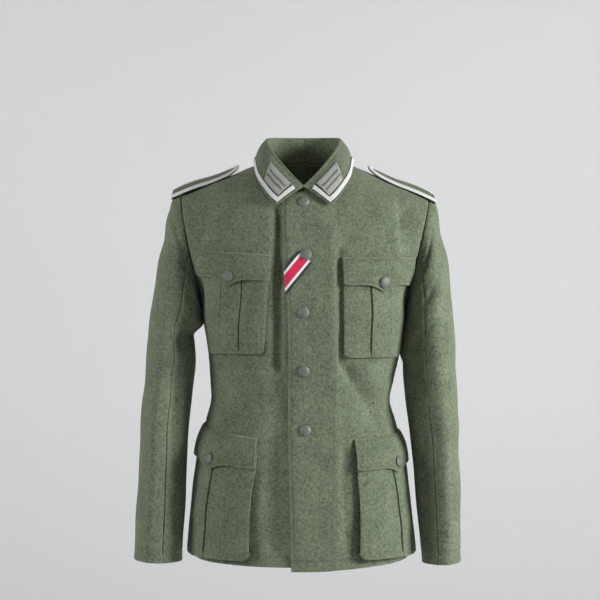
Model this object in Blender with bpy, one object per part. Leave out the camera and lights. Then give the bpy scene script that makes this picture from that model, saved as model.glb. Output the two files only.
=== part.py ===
# Military field tunic of thick wool cloth, closed and filled out as it is when worn.
# Metres, +Z up. The front faces -Y and the wearer's left is +X.
# The origin is the middle of the neck base, level with the collar's edge on the shoulders.

import math

import bpy
import numpy as np

# Cloth and sewing
CLOTH = 0.0022
POCKET_CLOTH = 0.0018
SEAM_GAP = 0.0003
LYING_GAP = 0.0008
LAP_GAP = 0.0010
TRIM_GAP = 0.0004
FOOT_GAP = 0.0011

# The cut of the body
MID_DEPTH = 0.015
SECTION_ROUNDNESS = 2.35
SHOULDER_DROP = 0.11
SHOULDER_ROUNDNESS = 2.2
ARMPIT_HEIGHT = -0.213
SHOULDER_END = {"left": 0.2157, "right": 0.2117}
NECK_HALF_WIDTH = 0.070
NECK_FRONT_DEPTH = 0.1094
NECK_BACK_DEPTH = 0.052
UNDERLAP = 0.031
LAP_FULL, LAP_FADED = 0.036, 0.060
EXTENSION_SLOPE = 0.25
SIDES = {"left": 1.0, "right": -1.0}

# Width and depth of the body at each height. Depths count from the side seam.
BODY_COLUMNS = ("height", "half_left", "half_right", "front", "back")
BODY = (
    (-0.690, 0.1825, 0.1885, 0.1430, 0.1040),
    (-0.620, 0.1780, 0.1860, 0.1425, 0.1035),
    (-0.540, 0.1715, 0.1810, 0.1385, 0.0970),
    (-0.470, 0.1655, 0.1735, 0.1310, 0.0860),
    (-0.435, 0.1570, 0.1670, 0.1260, 0.0790),
    (-0.405, 0.1480, 0.1593, 0.1225, 0.0750),
    (-0.370, 0.1551, 0.1605, 0.1235, 0.0760),
    (-0.325, 0.1655, 0.1637, 0.1285, 0.0840),
    (-0.270, 0.1740, 0.1720, 0.1350, 0.0960),
    (-0.213, 0.1813, 0.1813, 0.1385, 0.1060),
    (-0.165, 0.2080, 0.2080, 0.1370, 0.1100),
    (-0.140, 0.2220, 0.2220, 0.1350, 0.1105),
    (-0.100, 0.2470, 0.2470, 0.1280, 0.1080),
    (-0.050, 0.2750, 0.2750, 0.1100, 0.0920),
    (0.000, 0.2900, 0.2900, 0.0950, 0.0700),
    (0.050, 0.3000, 0.3000, 0.0850, 0.0600),
)

# Height of the shoulder crest at each distance from the middle.
CREST_COLUMNS = ("reach", "left", "right")
CREST = (
    (0.000, 0.0450, 0.0450),
    (0.040, 0.0260, 0.0260),
    (0.065, 0.0085, 0.0085),
    (0.084, 0.0005, 0.0003),
    (0.095, -0.0045, -0.0040),
    (0.117, -0.0150, -0.0142),
    (0.160, -0.0340, -0.0302),
    (0.2157, -0.0576, -0.0510),
    (0.270, -0.0810, -0.0710),
)

# The closing edge of the left front, which laps to the wearer's right, and of the right front under it.
EDGE_COLUMNS = ("height", "left")
EDGE = (
    (-0.690, -0.0200),
    (-0.450, -0.0262),
    (-0.250, -0.0272),
    (-0.157, -0.0322),
    (-0.060, -0.0372),
)

# Lower edge of the cloth at each share of the way from the middle to the side seam.
HEM_COLUMNS = ("share", "left", "right", "back")
HEM = (
    (-0.200, -0.6800, -0.6735, -0.6690),
    (0.000, -0.6800, -0.6735, -0.6690),
    (0.450, -0.6745, -0.6720, -0.6690),
    (1.000, -0.6660, -0.6680, -0.6670),
)

# Main folds: soft troughs, or ridges where the depth is negative, from one point of the face to another.
FOLD_COLUMNS = ("x0", "z0", "x1", "z1", "reach", "depth")
FRONT_FOLDS = (
    (-0.043, -0.085, -0.046, -0.340, 0.0085, 0.0065),
    (-0.046, -0.350, -0.040, -0.640, 0.0180, 0.0040),
    (0.048, -0.120, 0.056, -0.640, 0.0100, -0.0030),
    (0.0745, -0.350, 0.127, -0.440, 0.0120, 0.0065),
    (0.108, -0.352, 0.142, -0.405, 0.0140, -0.0035),
    (0.172, -0.085, 0.172, -0.135, 0.0110, 0.0050),
    (-0.150, -0.370, -0.105, -0.430, 0.016, 0.0040),
    (-0.120, -0.060, -0.150, -0.110, 0.015, 0.0040),
)
BACK_FOLDS = (
    (-0.120, -0.300, -0.050, -0.410, 0.018, 0.0060),
    (0.125, -0.290, 0.045, -0.400, 0.017, 0.0060),
    (-0.090, -0.440, -0.105, -0.640, 0.022, 0.0060),
    (0.085, -0.450, 0.110, -0.650, 0.022, 0.0060),
    (-0.020, -0.430, -0.010, -0.650, 0.024, -0.0050),
    (-0.165, -0.120, -0.140, -0.230, 0.014, 0.0060),
    (0.168, -0.115, 0.140, -0.240, 0.014, 0.0060),
    (-0.060, -0.030, 0.060, -0.030, 0.012, 0.0030),
)

# Sleeves: the outer and inner outline of each ring as seen from the front, its middle and its half depth.
SLEEVE_COLUMNS = ("outer_x", "outer_z", "inner_x", "inner_z", "middle_y", "half_depth")
SLEEVE = {
    "left": (
        (0.2157, -0.0576, 0.1813, -0.2130, 0.015, 0.0720),
        (0.2255, -0.0650, 0.1825, -0.2220, 0.015, 0.0760),
        (0.2325, -0.0900, 0.1825, -0.2320, 0.015, 0.0800),
        (0.2400, -0.1250, 0.1825, -0.2450, 0.014, 0.0820),
        (0.2480, -0.1720, 0.1805, -0.2620, 0.012, 0.0820),
        (0.2547, -0.2294, 0.1780, -0.2850, 0.009, 0.0800),
        (0.2580, -0.2850, 0.1725, -0.3150, 0.005, 0.0770),
        (0.2605, -0.3380, 0.1705, -0.3540, 0.001, 0.0730),
        (0.2622, -0.3950, 0.1745, -0.4040, -0.004, 0.0690),
        (0.2640, -0.4500, 0.1810, -0.4560, -0.010, 0.0660),
        (0.2654, -0.5100, 0.1870, -0.5140, -0.017, 0.0620),
        (0.2656, -0.5720, 0.1915, -0.5760, -0.024, 0.0580),
        (0.2654, -0.6320, 0.1975, -0.6360, -0.031, 0.0540),
        (0.2649, -0.6730, 0.2010, -0.6770, -0.036, 0.0520),
    ),
    "right": (
        (0.2117, -0.0493, 0.1813, -0.2130, 0.015, 0.0720),
        (0.2225, -0.0560, 0.1825, -0.2210, 0.015, 0.0760),
        (0.2310, -0.0790, 0.1830, -0.2300, 0.015, 0.0800),
        (0.2385, -0.1130, 0.1835, -0.2420, 0.014, 0.0820),
        (0.2475, -0.1600, 0.1860, -0.2580, 0.012, 0.0820),
        (0.2589, -0.2294, 0.1900, -0.2820, 0.009, 0.0800),
        (0.2645, -0.2790, 0.1865, -0.3080, 0.005, 0.0770),
        (0.2690, -0.3290, 0.1850, -0.3440, 0.001, 0.0730),
        (0.2735, -0.3870, 0.1905, -0.3950, -0.004, 0.0690),
        (0.2768, -0.4450, 0.1960, -0.4500, -0.010, 0.0660),
        (0.2800, -0.5100, 0.1990, -0.5140, -0.017, 0.0620),
        (0.2825, -0.5720, 0.2005, -0.5760, -0.024, 0.0580),
        (0.2850, -0.6320, 0.2045, -0.6360, -0.031, 0.0540),
        (0.2855, -0.6700, 0.2060, -0.6740, -0.036, 0.0520),
    ),
}
SLEEVE_ROUNDNESS = 2.15
SLEEVE_SEAM = math.radians(106)
SLEEVE_BLEND_RINGS = 3.2

# Soft folds across the sleeve: ring number, place round it in degrees (0 outside, 90 front), their reach and depth.
SLEEVE_FOLD_COLUMNS = ("ring", "round", "ring_reach", "round_reach", "depth")
SLEEVE_FOLDS = (
    (5.2, 60, 0.50, 50, 0.0040),
    (6.4, 110, 0.45, 60, 0.0055),
    (7.5, 85, 0.45, 55, 0.0050),
    (8.6, 120, 0.50, 50, 0.0040),
    (3.0, 40, 0.60, 35, 0.0045),
    (6.8, 250, 0.50, 60, 0.0045),
    (10.2, 75, 0.60, 45, 0.0030),
)

# Collar, from the front hook to the middle of the back: the fold at the top, the leaf's free edge and the neck seam.
COLLAR_COLUMNS = (
    "round", "neck", "fold_x", "fold_y", "fold_z", "edge_x", "edge_y", "edge_z", "bulge",
)
COLLAR = (
    (0, 0, 0.0006, -0.0965, -0.0420, 0.0449, -0.1125, -0.0755, 0.0030),
    (1, 22, 0.0209, -0.0850, -0.0211, 0.0600, -0.1030, -0.0600, 0.0050),
    (2, 45, 0.0447, -0.0590, 0.0078, 0.0792, -0.0740, -0.0300, 0.0060),
    (3, 68, 0.0589, -0.0240, 0.0300, 0.0865, -0.0250, -0.0020, 0.0060),
    (4, 92, 0.0628, 0.0090, 0.0441, 0.0875, 0.0160, 0.0065, 0.0055),
    (5, 118, 0.0590, 0.0360, 0.0490, 0.0800, 0.0520, 0.0060, 0.0055),
    (6, 150, 0.0380, 0.0610, 0.0515, 0.0500, 0.0790, 0.0020, 0.0055),
    (7, 180, 0.0000, 0.0700, 0.0520, 0.0000, 0.0880, -0.0010, 0.0055),
)
COLLAR_CLOTH = 0.0020
COLLAR_FOLD_RADIUS = 0.0021
COLLAR_SEAM_GAP = 0.0010

# Lace sewn round the collar's leaf, and the two patches of lace bars.
BRAID_WIDTH = 0.0085
BRAID_INSET = 0.0018
BRAID_THICKNESS = 0.0012
BRAID_GAP = 0.0006
PATCH_THICKNESS = 0.0014
PATCH = {"front": 0.52, "rear": 1.75, "upper": 0.22, "lower": 0.74, "slant": 0.10}

# Breast pockets and skirt pockets: one table column each for the wearer's left and right.
BREAST = {
    "left": {
        "inner": ((-0.330, 0.0655), (-0.210, 0.0650), (-0.150, 0.0645)),
        "flap_inner": ((-0.230, 0.0637), (-0.150, 0.0642)),
        "flap_top": (-0.1610, -0.1600),
        "flap_drop": 0.0450,
        "bottom": -0.3285,
        "slit": 0.047,
    },
    "right": {
        "inner": ((-0.325, 0.0645), (-0.207, 0.0576), (-0.150, 0.0545)),
        "flap_inner": ((-0.230, 0.0543), (-0.150, 0.0533)),
        "flap_top": (-0.1570, -0.1480),
        "flap_drop": 0.0410,
        "bottom": -0.3225,
        "slit": 0.045,
    },
}
BREAST_SIZE = {"width": 0.130, "flap_width": 0.138, "stand": 0.0034, "lower_stand": 0.0052, "belly": 0.0025}
SKIRT = {
    "left": {
        "inner": ((-0.665, 0.0940), (-0.600, 0.0955), (-0.560, 0.0935), (-0.519, 0.0887), (-0.470, 0.0840)),
        "flap_inner": ((-0.520, 0.0850), (-0.463, 0.0813)),
        "flap_top": (-0.4640, -0.4530),
        "flap_drop": 0.0520,
        "bottom": -0.6620,
        "slit": 0.068,
    },
    "right": {
        "inner": ((-0.665, 0.0920), (-0.594, 0.0913), (-0.557, 0.0880), (-0.515, 0.0786), (-0.470, 0.0740)),
        "flap_inner": ((-0.520, 0.0795), (-0.460, 0.0725)),
        "flap_top": (-0.4610, -0.4420),
        "flap_drop": 0.0520,
        "bottom": -0.6630,
        "slit": 0.078,
    },
}
SKIRT_SIZE = {"width": 0.163, "flap_width": 0.168, "stand": 0.0060, "lower_stand": 0.0130, "belly": 0.0020}
PLEAT_WIDTH = 0.037
PLEAT_RISE = 0.0014
FLAP_POINT = 0.0085
CORNER = 0.007

# Shoulder boards: stiff straps lifted above the crest at each distance from the middle, tilted forward, with a round
# inner end.
BOARD_COLUMNS = ("reach", "lift", "tilt", "half_width")
BOARD = (
    (0.1110, 0.0064, 17.0, 0.0010),
    (0.1125, 0.0061, 17.0, 0.0075),
    (0.1160, 0.0054, 17.0, 0.0130),
    (0.1220, 0.0041, 17.0, 0.0178),
    (0.1310, 0.0029, 17.0, 0.0208),
    (0.1420, 0.0022, 17.0, 0.0215),
    (0.1590, 0.0019, 17.0, 0.0215),
    (0.1810, 0.0046, 17.0, 0.0215),
    (0.1970, 0.0060, 14.0, 0.0215),
    (0.2140, 0.0050, 7.0, 0.0215),
    (0.2260, 0.0026, 2.0, 0.0215),
)
BOARD_THICKNESS = 0.0050
BOARD_MIDDLE = 0.002

# Buttons, domed metal
FRONT_BUTTONS = ((0.0005, -0.0685), (0.0037, -0.1570), (0.0000, -0.2526), (0.0007, -0.3503), (0.0028, -0.4478))
BUTTON_RADIUS = 0.0095
BUTTON_HEIGHT = 0.0042

# Striped ribbon drawn through the second buttonhole and round the front edge.
RIBBON_WIDTH = 0.030
RIBBON_THICKNESS = 0.0008
RIBBON_SLOPE = 1.25

# Grid of each piece: cells across and cells down
FRONT_FINE_CELLS, FRONT_WIDE_CELLS, FRONT_LOW_ROWS, FRONT_TOP_ROWS = 11, 10, 13, 9
FRONT_FINE_ANGLE = math.radians(24)
BACK_HALF_CELLS, BACK_LOW_ROWS, BACK_TOP_ROWS = 12, 13, 9
UPPER_SLEEVE_CELLS, UNDER_SLEEVE_CELLS, SLEEVE_ROWS = 11, 7, 20

# Colours: base colour, roughness, metallic
FINISHES = {
    "wool": ((0.115, 0.145, 0.090), 0.95, 0.0),
    "badge_cloth": ((0.030, 0.050, 0.045), 0.95, 0.0),
    "lace": ((0.42, 0.45, 0.42), 0.70, 0.0),
    "grey_lace": ((0.30, 0.33, 0.30), 0.80, 0.0),
    "painted_metal": ((0.20, 0.23, 0.20), 0.55, 0.5),
    "ribbon": ((0.60, 0.02, 0.07), 0.65, 0.0),
}


# Reading the tables

def read(table, columns, name, at):
    """A smooth curve through one column of a table, held level beyond its ends."""
    data = np.array(table, float)
    stations = data[:, 0]
    values = data[:, columns.index(name)]
    slopes = np.gradient(values, stations)
    at = np.clip(np.asarray(at, float), stations[0], stations[-1])
    k = np.clip(np.searchsorted(stations, at) - 1, 0, len(stations) - 2)
    step = stations[k + 1] - stations[k]
    f = (at - stations[k]) / step
    start = values[k] * (1 + 2 * f) * (1 - f) ** 2 + slopes[k] * step * f * (1 - f) ** 2
    end = values[k + 1] * (3 - 2 * f) * f ** 2 - slopes[k + 1] * step * (1 - f) * f ** 2
    return start + end


def read_line(pairs, at):
    """Straight reading of a short list of (station, value) pairs, in either order."""
    pairs = sorted(pairs)
    return np.interp(at, [p[0] for p in pairs], [p[1] for p in pairs])


def by_side(side, left, right):
    return np.where(np.asarray(side) > 0, left, right)


def ease(value):
    value = np.clip(value, 0, 1)
    return value * value * (3 - 2 * value)


def signed_power(value, power):
    return np.sign(value) * np.abs(value) ** power


# The body's surface

def crest(side, reach):
    reach = np.abs(reach)
    left = read(CREST, CREST_COLUMNS, "left", reach)
    right = read(CREST, CREST_COLUMNS, "right", reach)
    return by_side(side, left, right)


def half_width(side, z):
    left = read(BODY, BODY_COLUMNS, "half_left", z)
    right = read(BODY, BODY_COLUMNS, "half_right", z)
    return by_side(side, left, right)


def fold_depth(folds, x, z):
    """How far the folds of one face sink it at (x, z)."""
    total = np.zeros(np.broadcast(x, z).shape)
    for x0, z0, x1, z1, reach, depth in folds:
        run = (x1 - x0) ** 2 + (z1 - z0) ** 2
        along = np.clip(((x - x0) * (x1 - x0) + (z - z0) * (z1 - z0)) / run, 0, 1)
        away = np.hypot(x - x0 - along * (x1 - x0), z - z0 - along * (z1 - z0))
        total = total + depth * np.exp(-((away / reach) ** 2))
    return total


def body_point(side, theta, z, out=0.0):
    """A point of the body's cloth: theta runs from the middle front (0) by the side seam (90 degrees) to the middle back.
    It lies `out` metres outside the cloth's outer face."""
    theta, z = np.broadcast_arrays(np.asarray(theta, float), np.asarray(z, float))
    power = 2 / SECTION_ROUNDNESS
    round_x = signed_power(np.sin(theta), power)
    round_y = np.abs(np.cos(theta)) ** power
    is_front = theta <= math.pi / 2 + 1e-9
    x_here = side * half_width(side, z) * round_x
    sunk = np.where(is_front, fold_depth(FRONT_FOLDS, x_here, z), fold_depth(BACK_FOLDS, x_here, z))
    shift = out - sunk * np.minimum(1, round_y * 1.6)
    depth_front = read(BODY, BODY_COLUMNS, "front", z) + shift
    depth_back = read(BODY, BODY_COLUMNS, "back", z) + shift
    fall = np.clip((crest(side, x_here) - z) / SHOULDER_DROP, 0, 1)
    over = (1 - (1 - fall) ** SHOULDER_ROUNDNESS) ** (1 / SHOULDER_ROUNDNESS)
    front_y = MID_DEPTH - SEAM_GAP / 2 - depth_front * round_y * over
    back_y = MID_DEPTH + SEAM_GAP / 2 + depth_back * round_y * over
    x = side * (half_width(side, z) + shift) * round_x
    return np.stack(
        [x + 0 * z, np.where(is_front, front_y, back_y), z + shift * (1 - fall)], axis=-1
    )


def theta_of(side, reach, z, back=False):
    """The angle of the point at a distance `reach` from the middle, at height z."""
    share = np.clip(np.abs(reach) / half_width(side, z), 0, 1)
    theta = np.sign(reach) * np.arcsin(share ** (SECTION_ROUNDNESS / 2))
    return math.pi - theta if back else theta


def even_theta(angle):
    """The angle whose point is an even share of the way round: it undoes the bunching of the rounded-oblong section."""
    power = SECTION_ROUNDNESS / 2
    return np.sign(angle) * np.arctan2(np.abs(np.sin(angle)) ** power, np.abs(np.cos(angle)) ** power)


def even_angle(theta):
    """The reverse of even_theta."""
    power = 2 / SECTION_ROUNDNESS
    return np.sign(theta) * np.arctan2(np.abs(np.sin(theta)) ** power, np.abs(np.cos(theta)) ** power)


def theta_at_arc(side, arc, z):
    """The angle reached by a tape laid round the cloth from the middle front, for whole rows of one height."""
    samples = np.radians(np.linspace(0, 90, 91))
    found = np.zeros(np.shape(arc))
    for row in range(len(arc)):
        points = body_point(side, samples, float(np.mean(z[row])))
        steps = np.hypot(np.diff(points[:, 0]), np.diff(points[:, 1]))
        tape = np.concatenate([[0], np.cumsum(steps)])
        found[row] = np.interp(arc[row], tape, samples)
    return found


def arc_of(side, reach, z):
    """The tape length from the middle front to a distance `reach` across."""
    samples = np.linspace(0, float(theta_of(side, reach, z)), 40)
    points = body_point(side, samples, z)
    return float(np.hypot(np.diff(points[:, 0]), np.diff(points[:, 1])).sum())


def neck_point(side, psi):
    """(reach, height) of the neck seam, an ellipse in plan: psi is 0 in front, 90 on the shoulder and 180 behind."""
    reach = NECK_HALF_WIDTH * np.sin(psi)
    ahead = np.cos(psi)
    target = np.where(ahead > 0, NECK_FRONT_DEPTH * ahead, -NECK_BACK_DEPTH * ahead)
    top = crest(side, reach)
    above, below = np.zeros(np.shape(reach)), np.full(np.shape(reach), 0.9)
    for _ in range(24):
        fall = (above + below) / 2
        z = top - SHOULDER_DROP * fall
        front = read(BODY, BODY_COLUMNS, "front", z)
        back = read(BODY, BODY_COLUMNS, "back", z)
        flat = np.cos(theta_of(side, reach, z)) ** (2 / SECTION_ROUNDNESS)
        over = (1 - (1 - fall) ** SHOULDER_ROUNDNESS) ** (1 / SHOULDER_ROUNDNESS)
        short = np.where(ahead > 0, front, back) * flat * over < target
        above = np.where(short, fall, above)
        below = np.where(short, below, fall)
    return reach, z


def armhole(side_name, phi):
    """(reach, height) of the armhole seam, seen from the front as a straight line: phi is 0 on the shoulder."""
    top = (SHOULDER_END[side_name], float(crest(SIDES[side_name], SHOULDER_END[side_name])))
    bottom = (float(half_width(SIDES[side_name], ARMPIT_HEIGHT)), ARMPIT_HEIGHT)
    share = (1 - signed_power(np.cos(phi), 2 / SLEEVE_ROUNDNESS)) / 2
    return top[0] + (bottom[0] - top[0]) * share, top[1] + (bottom[1] - top[1]) * share


# Meshes

def finish(name):
    """A Principled material for one of the finishes."""
    found = bpy.data.materials.get(name)
    if found:
        return found
    colour, roughness, metallic = FINISHES[name]
    material = bpy.data.materials.new(name)
    material.use_nodes = True
    shader = material.node_tree.nodes["Principled BSDF"]
    shader.inputs["Base Color"].default_value = (*colour, 1.0)
    shader.inputs["Roughness"].default_value = roughness
    shader.inputs["Metallic"].default_value = metallic
    return material


def add_object(name, points, faces, material):
    """A mesh object whose faces point outwards."""
    points = np.asarray(points, float)
    volume = 0.0
    for face in faces:
        for i in range(1, len(face) - 1):
            a, b, c = points[face[0]], points[face[i]], points[face[i + 1]]
            volume += float(np.dot(a, np.cross(b, c)))
    if volume < 0:
        faces = [tuple(reversed(face)) for face in faces]
    mesh = bpy.data.meshes.new(name)
    mesh.from_pydata([tuple(p) for p in points], [], faces)
    mesh.materials.append(finish(material))
    mesh.update()
    mesh.shade_smooth()
    mesh.set_sharp_from_angle(angle=math.radians(40))
    thing = bpy.data.objects.new(name, mesh)
    bpy.context.scene.collection.objects.link(thing)
    return thing


def wall(name, outer, inner, material):
    """A closed wall of cloth between two grids of points."""
    rows, columns = outer.shape[:2]
    points = np.concatenate([outer.reshape(-1, 3), inner.reshape(-1, 3)])
    count = rows * columns

    def at(row, column, layer):
        return layer * count + row * columns + column

    faces = []
    for row in range(rows - 1):
        for column in range(columns - 1):
            ring = [(row, column), (row, column + 1), (row + 1, column + 1), (row + 1, column)]
            faces.append(tuple(at(*corner, 0) for corner in ring))
            faces.append(tuple(at(*corner, 1) for corner in reversed(ring)))
    rim = [(0, column) for column in range(columns)]
    rim += [(row, columns - 1) for row in range(1, rows)]
    rim += [(rows - 1, column) for column in range(columns - 2, -1, -1)]
    rim += [(row, 0) for row in range(rows - 2, 0, -1)]
    for here, there in zip(rim, rim[1:] + rim[:1]):
        faces.append((at(*there, 0), at(*here, 0), at(*here, 1), at(*there, 1)))
    return add_object(name, points, faces, material)


def grid_normals(points):
    """Unit normals of a grid of points, pointing away from the middle of the garment's side they are on."""
    down = np.gradient(points, axis=0)
    across = np.gradient(points, axis=1)
    normal = np.cross(down, across)
    return normal / np.linalg.norm(normal, axis=2, keepdims=True)


# Fronts and back

def patch_between(bottom, top, left, right, s, r):
    """Blends four boundary curves, each an array of (reach, height), over a grid."""
    s = s[None, :, None]
    r = r[:, None, None]
    bottom, top = bottom[None, :, :], top[None, :, :]
    left, right = left[:, None, :], right[:, None, :]
    corners = (
        (1 - s) * (1 - r) * bottom[:, :1] + s * (1 - r) * bottom[:, -1:]
        + (1 - s) * r * top[:, :1] + s * r * top[:, -1:]
    )
    return (1 - s) * left + s * right + (1 - r) * bottom + r * top - corners


def top_curve(side_name, edge, back, s):
    """(reach, height) of the neck seam and then the shoulder seam, from the panel's inner edge to the armhole."""
    side = SIDES[side_name]
    turn = 0.36 if back else 0.46
    along_neck = np.clip(s / turn, 0, 1)
    if back:
        psi = math.pi - along_neck * math.pi / 2
    else:
        start = -math.asin(min(1, abs(edge) / NECK_HALF_WIDTH))
        psi = start + along_neck * (math.pi / 2 - start)
    reach, height = neck_point(side, np.maximum(psi, 0))
    pit = float(neck_point(side, np.array(0.0))[1])
    beyond = NECK_HALF_WIDTH * np.sin(np.minimum(psi, 0))
    height = np.where(psi < 0, pit + EXTENSION_SLOPE * beyond, height)
    reach = np.where(psi < 0, beyond, reach)
    along_shoulder = np.clip((s - turn) / (1 - turn), 0, 1)
    seam = NECK_HALF_WIDTH + along_shoulder * (SHOULDER_END[side_name] - NECK_HALF_WIDTH)
    on_seam = s > turn
    return np.stack(
        [np.where(on_seam, seam, reach), np.where(on_seam, crest(side, seam), height)], axis=-1
    )


def panel_angles(side_name, face, low_rows, top_rows):
    """The (theta, z) grid of a front or of half the back, from the hem to the neck and shoulder seams."""
    side = SIDES[side_name]
    back = face == "back"
    if face == "over":
        edge_at = lambda z: read(EDGE, EDGE_COLUMNS, "left", z)
    elif face == "under":
        edge_at = lambda z: np.full(np.shape(z), -UNDERLAP)
    else:
        edge_at = lambda z: np.zeros(np.shape(z))
    hem_name = "back" if back else side_name
    low = np.linspace(0, 1, low_rows + 1)[:, None]
    start = even_angle(theta_of(side, edge_at(np.array(ARMPIT_HEIGHT)), ARMPIT_HEIGHT))
    if back:
        angle = np.linspace(0, math.pi / 2, BACK_HALF_CELLS + 1)
    else:
        fine = np.linspace(start, FRONT_FINE_ANGLE, FRONT_FINE_CELLS + 1)
        angle = np.concatenate([fine, np.linspace(FRONT_FINE_ANGLE, math.pi / 2, FRONT_WIDE_CELLS + 1)[1:]])
    s = (angle - start) / (math.pi / 2 - start)
    share = angle / (math.pi / 2)
    hem = read(HEM, HEM_COLUMNS, hem_name, share)[None, :]
    z_low = hem + low * (ARMPIT_HEIGHT - hem)
    first = even_angle(theta_of(side, edge_at(z_low), z_low))
    theta_low = even_theta(first + s[None, :] * (math.pi / 2 - first))
    reach = half_width(side, ARMPIT_HEIGHT) * signed_power(np.sin(theta_low[-1]), 2 / SECTION_ROUNDNESS)
    bottom = np.stack([reach, np.full(len(s), ARMPIT_HEIGHT)], axis=-1)
    way = np.linspace(0, 1, top_rows + 1)
    r = 1 - (1 - way) ** 1.9
    top = top_curve(side_name, float(edge_at(np.array(-0.06))), back, s)
    rise = ARMPIT_HEIGHT + r * (top[0, 1] - ARMPIT_HEIGHT)
    inner = np.stack([edge_at(rise) if not back else 0 * rise, rise], axis=-1)
    inner[-1] = top[0]
    outer = np.stack(armhole(side_name, math.pi * (1 - way)), axis=-1)
    blend = patch_between(bottom, top, inner, outer, s, r)
    theta_top = theta_of(side, blend[..., 0], blend[..., 1])
    theta = np.concatenate([theta_low, theta_top[1:]])
    z = np.concatenate([z_low, blend[1:, :, 1]])
    return (math.pi - theta if back else theta), z


def lap_out(x):
    """How far the left front stands out to pass over the right front."""
    return (CLOTH + LAP_GAP) * (1 - ease((x - LAP_FULL) / (LAP_FADED - LAP_FULL)))


def front_lift(side, theta, z):
    """The extra height of whatever lies on the left front near its closing edge."""
    if side < 0:
        return 0.0
    return lap_out(half_width(side, z) * signed_power(np.sin(theta), 2 / SECTION_ROUNDNESS))


def make_fronts():
    for side_name, side in SIDES.items():
        face = "over" if side > 0 else "under"
        theta, z = panel_angles(side_name, face, FRONT_LOW_ROWS, FRONT_TOP_ROWS)
        lift = front_lift(side, theta, z)
        outer = body_point(side, theta, z, lift)
        inner = body_point(side, theta, z, lift - CLOTH)
        wall(f"front_{side_name}", outer, inner, "wool")


def make_back():
    halves = []
    for side_name, side in (("right", -1.0), ("left", 1.0)):
        theta, z = panel_angles(side_name, "back", BACK_LOW_ROWS, BACK_TOP_ROWS)
        outer = body_point(side, theta, z)
        inner = body_point(side, theta, z, -CLOTH)
        halves.append((outer, inner))
    (outer_right, inner_right), (outer_left, inner_left) = halves
    middle_out = (outer_right[:, :1] + outer_left[:, :1]) / 2
    middle_in = (inner_right[:, :1] + inner_left[:, :1]) / 2
    outer = np.concatenate([outer_right[:, :0:-1], middle_out, outer_left[:, 1:]], axis=1)
    inner = np.concatenate([inner_right[:, :0:-1], middle_in, inner_left[:, 1:]], axis=1)
    wall("back", outer, inner, "wool")


# Sleeves

def sleeve_surface(side_name, phi, ring):
    """The sleeve's outer face: phi goes round it from the outside (0) over the front (90 degrees), ring counts the rows
    of its table from the armhole."""
    side = SIDES[side_name]
    table = [(float(i), *row) for i, row in enumerate(SLEEVE[side_name])]
    columns = ("ring", *SLEEVE_COLUMNS)
    phi, ring = np.broadcast_arrays(np.asarray(phi, float), np.asarray(ring, float))
    power = 2 / SLEEVE_ROUNDNESS
    cos_phi = signed_power(np.cos(phi), power)
    sin_phi = signed_power(np.sin(phi), power)
    outer_x = read(table, columns, "outer_x", ring)
    outer_z = read(table, columns, "outer_z", ring)
    inner_x = read(table, columns, "inner_x", ring)
    inner_z = read(table, columns, "inner_z", ring)
    x = (outer_x + inner_x) / 2 + (outer_x - inner_x) / 2 * cos_phi
    z = (outer_z + inner_z) / 2 + (outer_z - inner_z) / 2 * cos_phi
    y = read(table, columns, "middle_y", ring) - read(table, columns, "half_depth", ring) * sin_phi
    reach, height = armhole(side_name, phi)
    front = body_point(side, theta_of(side, reach, height), height)[..., 1]
    back = body_point(side, theta_of(side, reach, height, True), height)[..., 1]
    seam = np.where(np.sin(phi) >= 0, front, back)
    near = 1 - ease(ring / SLEEVE_BLEND_RINGS)
    return np.stack([side * x, y + (seam - y) * near, z], axis=-1)


def sleeve_point(side_name, phi, ring, out=0.0):
    """A point `out` metres outside the sleeve's outer face, folds included."""
    small = 1e-3
    last = len(SLEEVE[side_name]) - 1
    phi, ring = np.broadcast_arrays(np.asarray(phi, float), np.asarray(ring, float))
    before, after = np.maximum(ring - small, 0), np.minimum(ring + small, last)
    round_way = sleeve_surface(side_name, phi + small, ring) - sleeve_surface(side_name, phi - small, ring)
    down_way = sleeve_surface(side_name, phi, after) - sleeve_surface(side_name, phi, before)
    normal = np.cross(round_way, down_way) * SIDES[side_name]
    normal = normal / np.linalg.norm(normal, axis=-1, keepdims=True)
    place = sleeve_surface(side_name, phi, ring)
    folds = np.zeros(phi.shape)
    for at_ring, at_round, ring_reach, round_reach, depth in SLEEVE_FOLDS:
        turn = np.degrees(phi) - at_round
        turn = (turn + 180) % 360 - 180
        skew = ring - at_ring - 0.006 * turn * SIDES[side_name]
        folds = folds + depth * np.exp(-((skew / ring_reach) ** 2) - (turn / round_reach) ** 2)
    folds = folds * ease((ring - 0.6) / 1.5)
    return place + normal * (out - folds)[..., None]


def make_sleeves():
    last = len(SLEEVE["left"]) - 1
    ring = np.linspace(0, 1, SLEEVE_ROWS + 1)[:, None] * last
    gap = 0.0095
    cuts = {
        "upper_sleeve": (-SLEEVE_SEAM + gap, SLEEVE_SEAM - gap, UPPER_SLEEVE_CELLS),
        "under_sleeve": (SLEEVE_SEAM, 2 * math.pi - SLEEVE_SEAM, UNDER_SLEEVE_CELLS),
    }
    for side_name, side in SIDES.items():
        for name, (start, end, cells) in cuts.items():
            phi = np.linspace(start, end, cells + 1)[None, :]
            outer = sleeve_point(side_name, phi, ring)
            inner = sleeve_point(side_name, phi, ring, -CLOTH)
            clear = side * (SEAM_GAP + 0.0003 + 0.0007 * np.maximum(0, np.cos(phi)))
            outer[..., 0] += clear
            inner[..., 0] += clear
            wall(f"{name}_{side_name}", outer, inner, "wool")


# Collar

def collar_column(name, u):
    """One column of the collar table at u: 0 at the hook, 7 at the middle of the back, mirrored by the sign of u."""
    return read(COLLAR, COLLAR_COLUMNS, name, np.abs(u))


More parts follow.
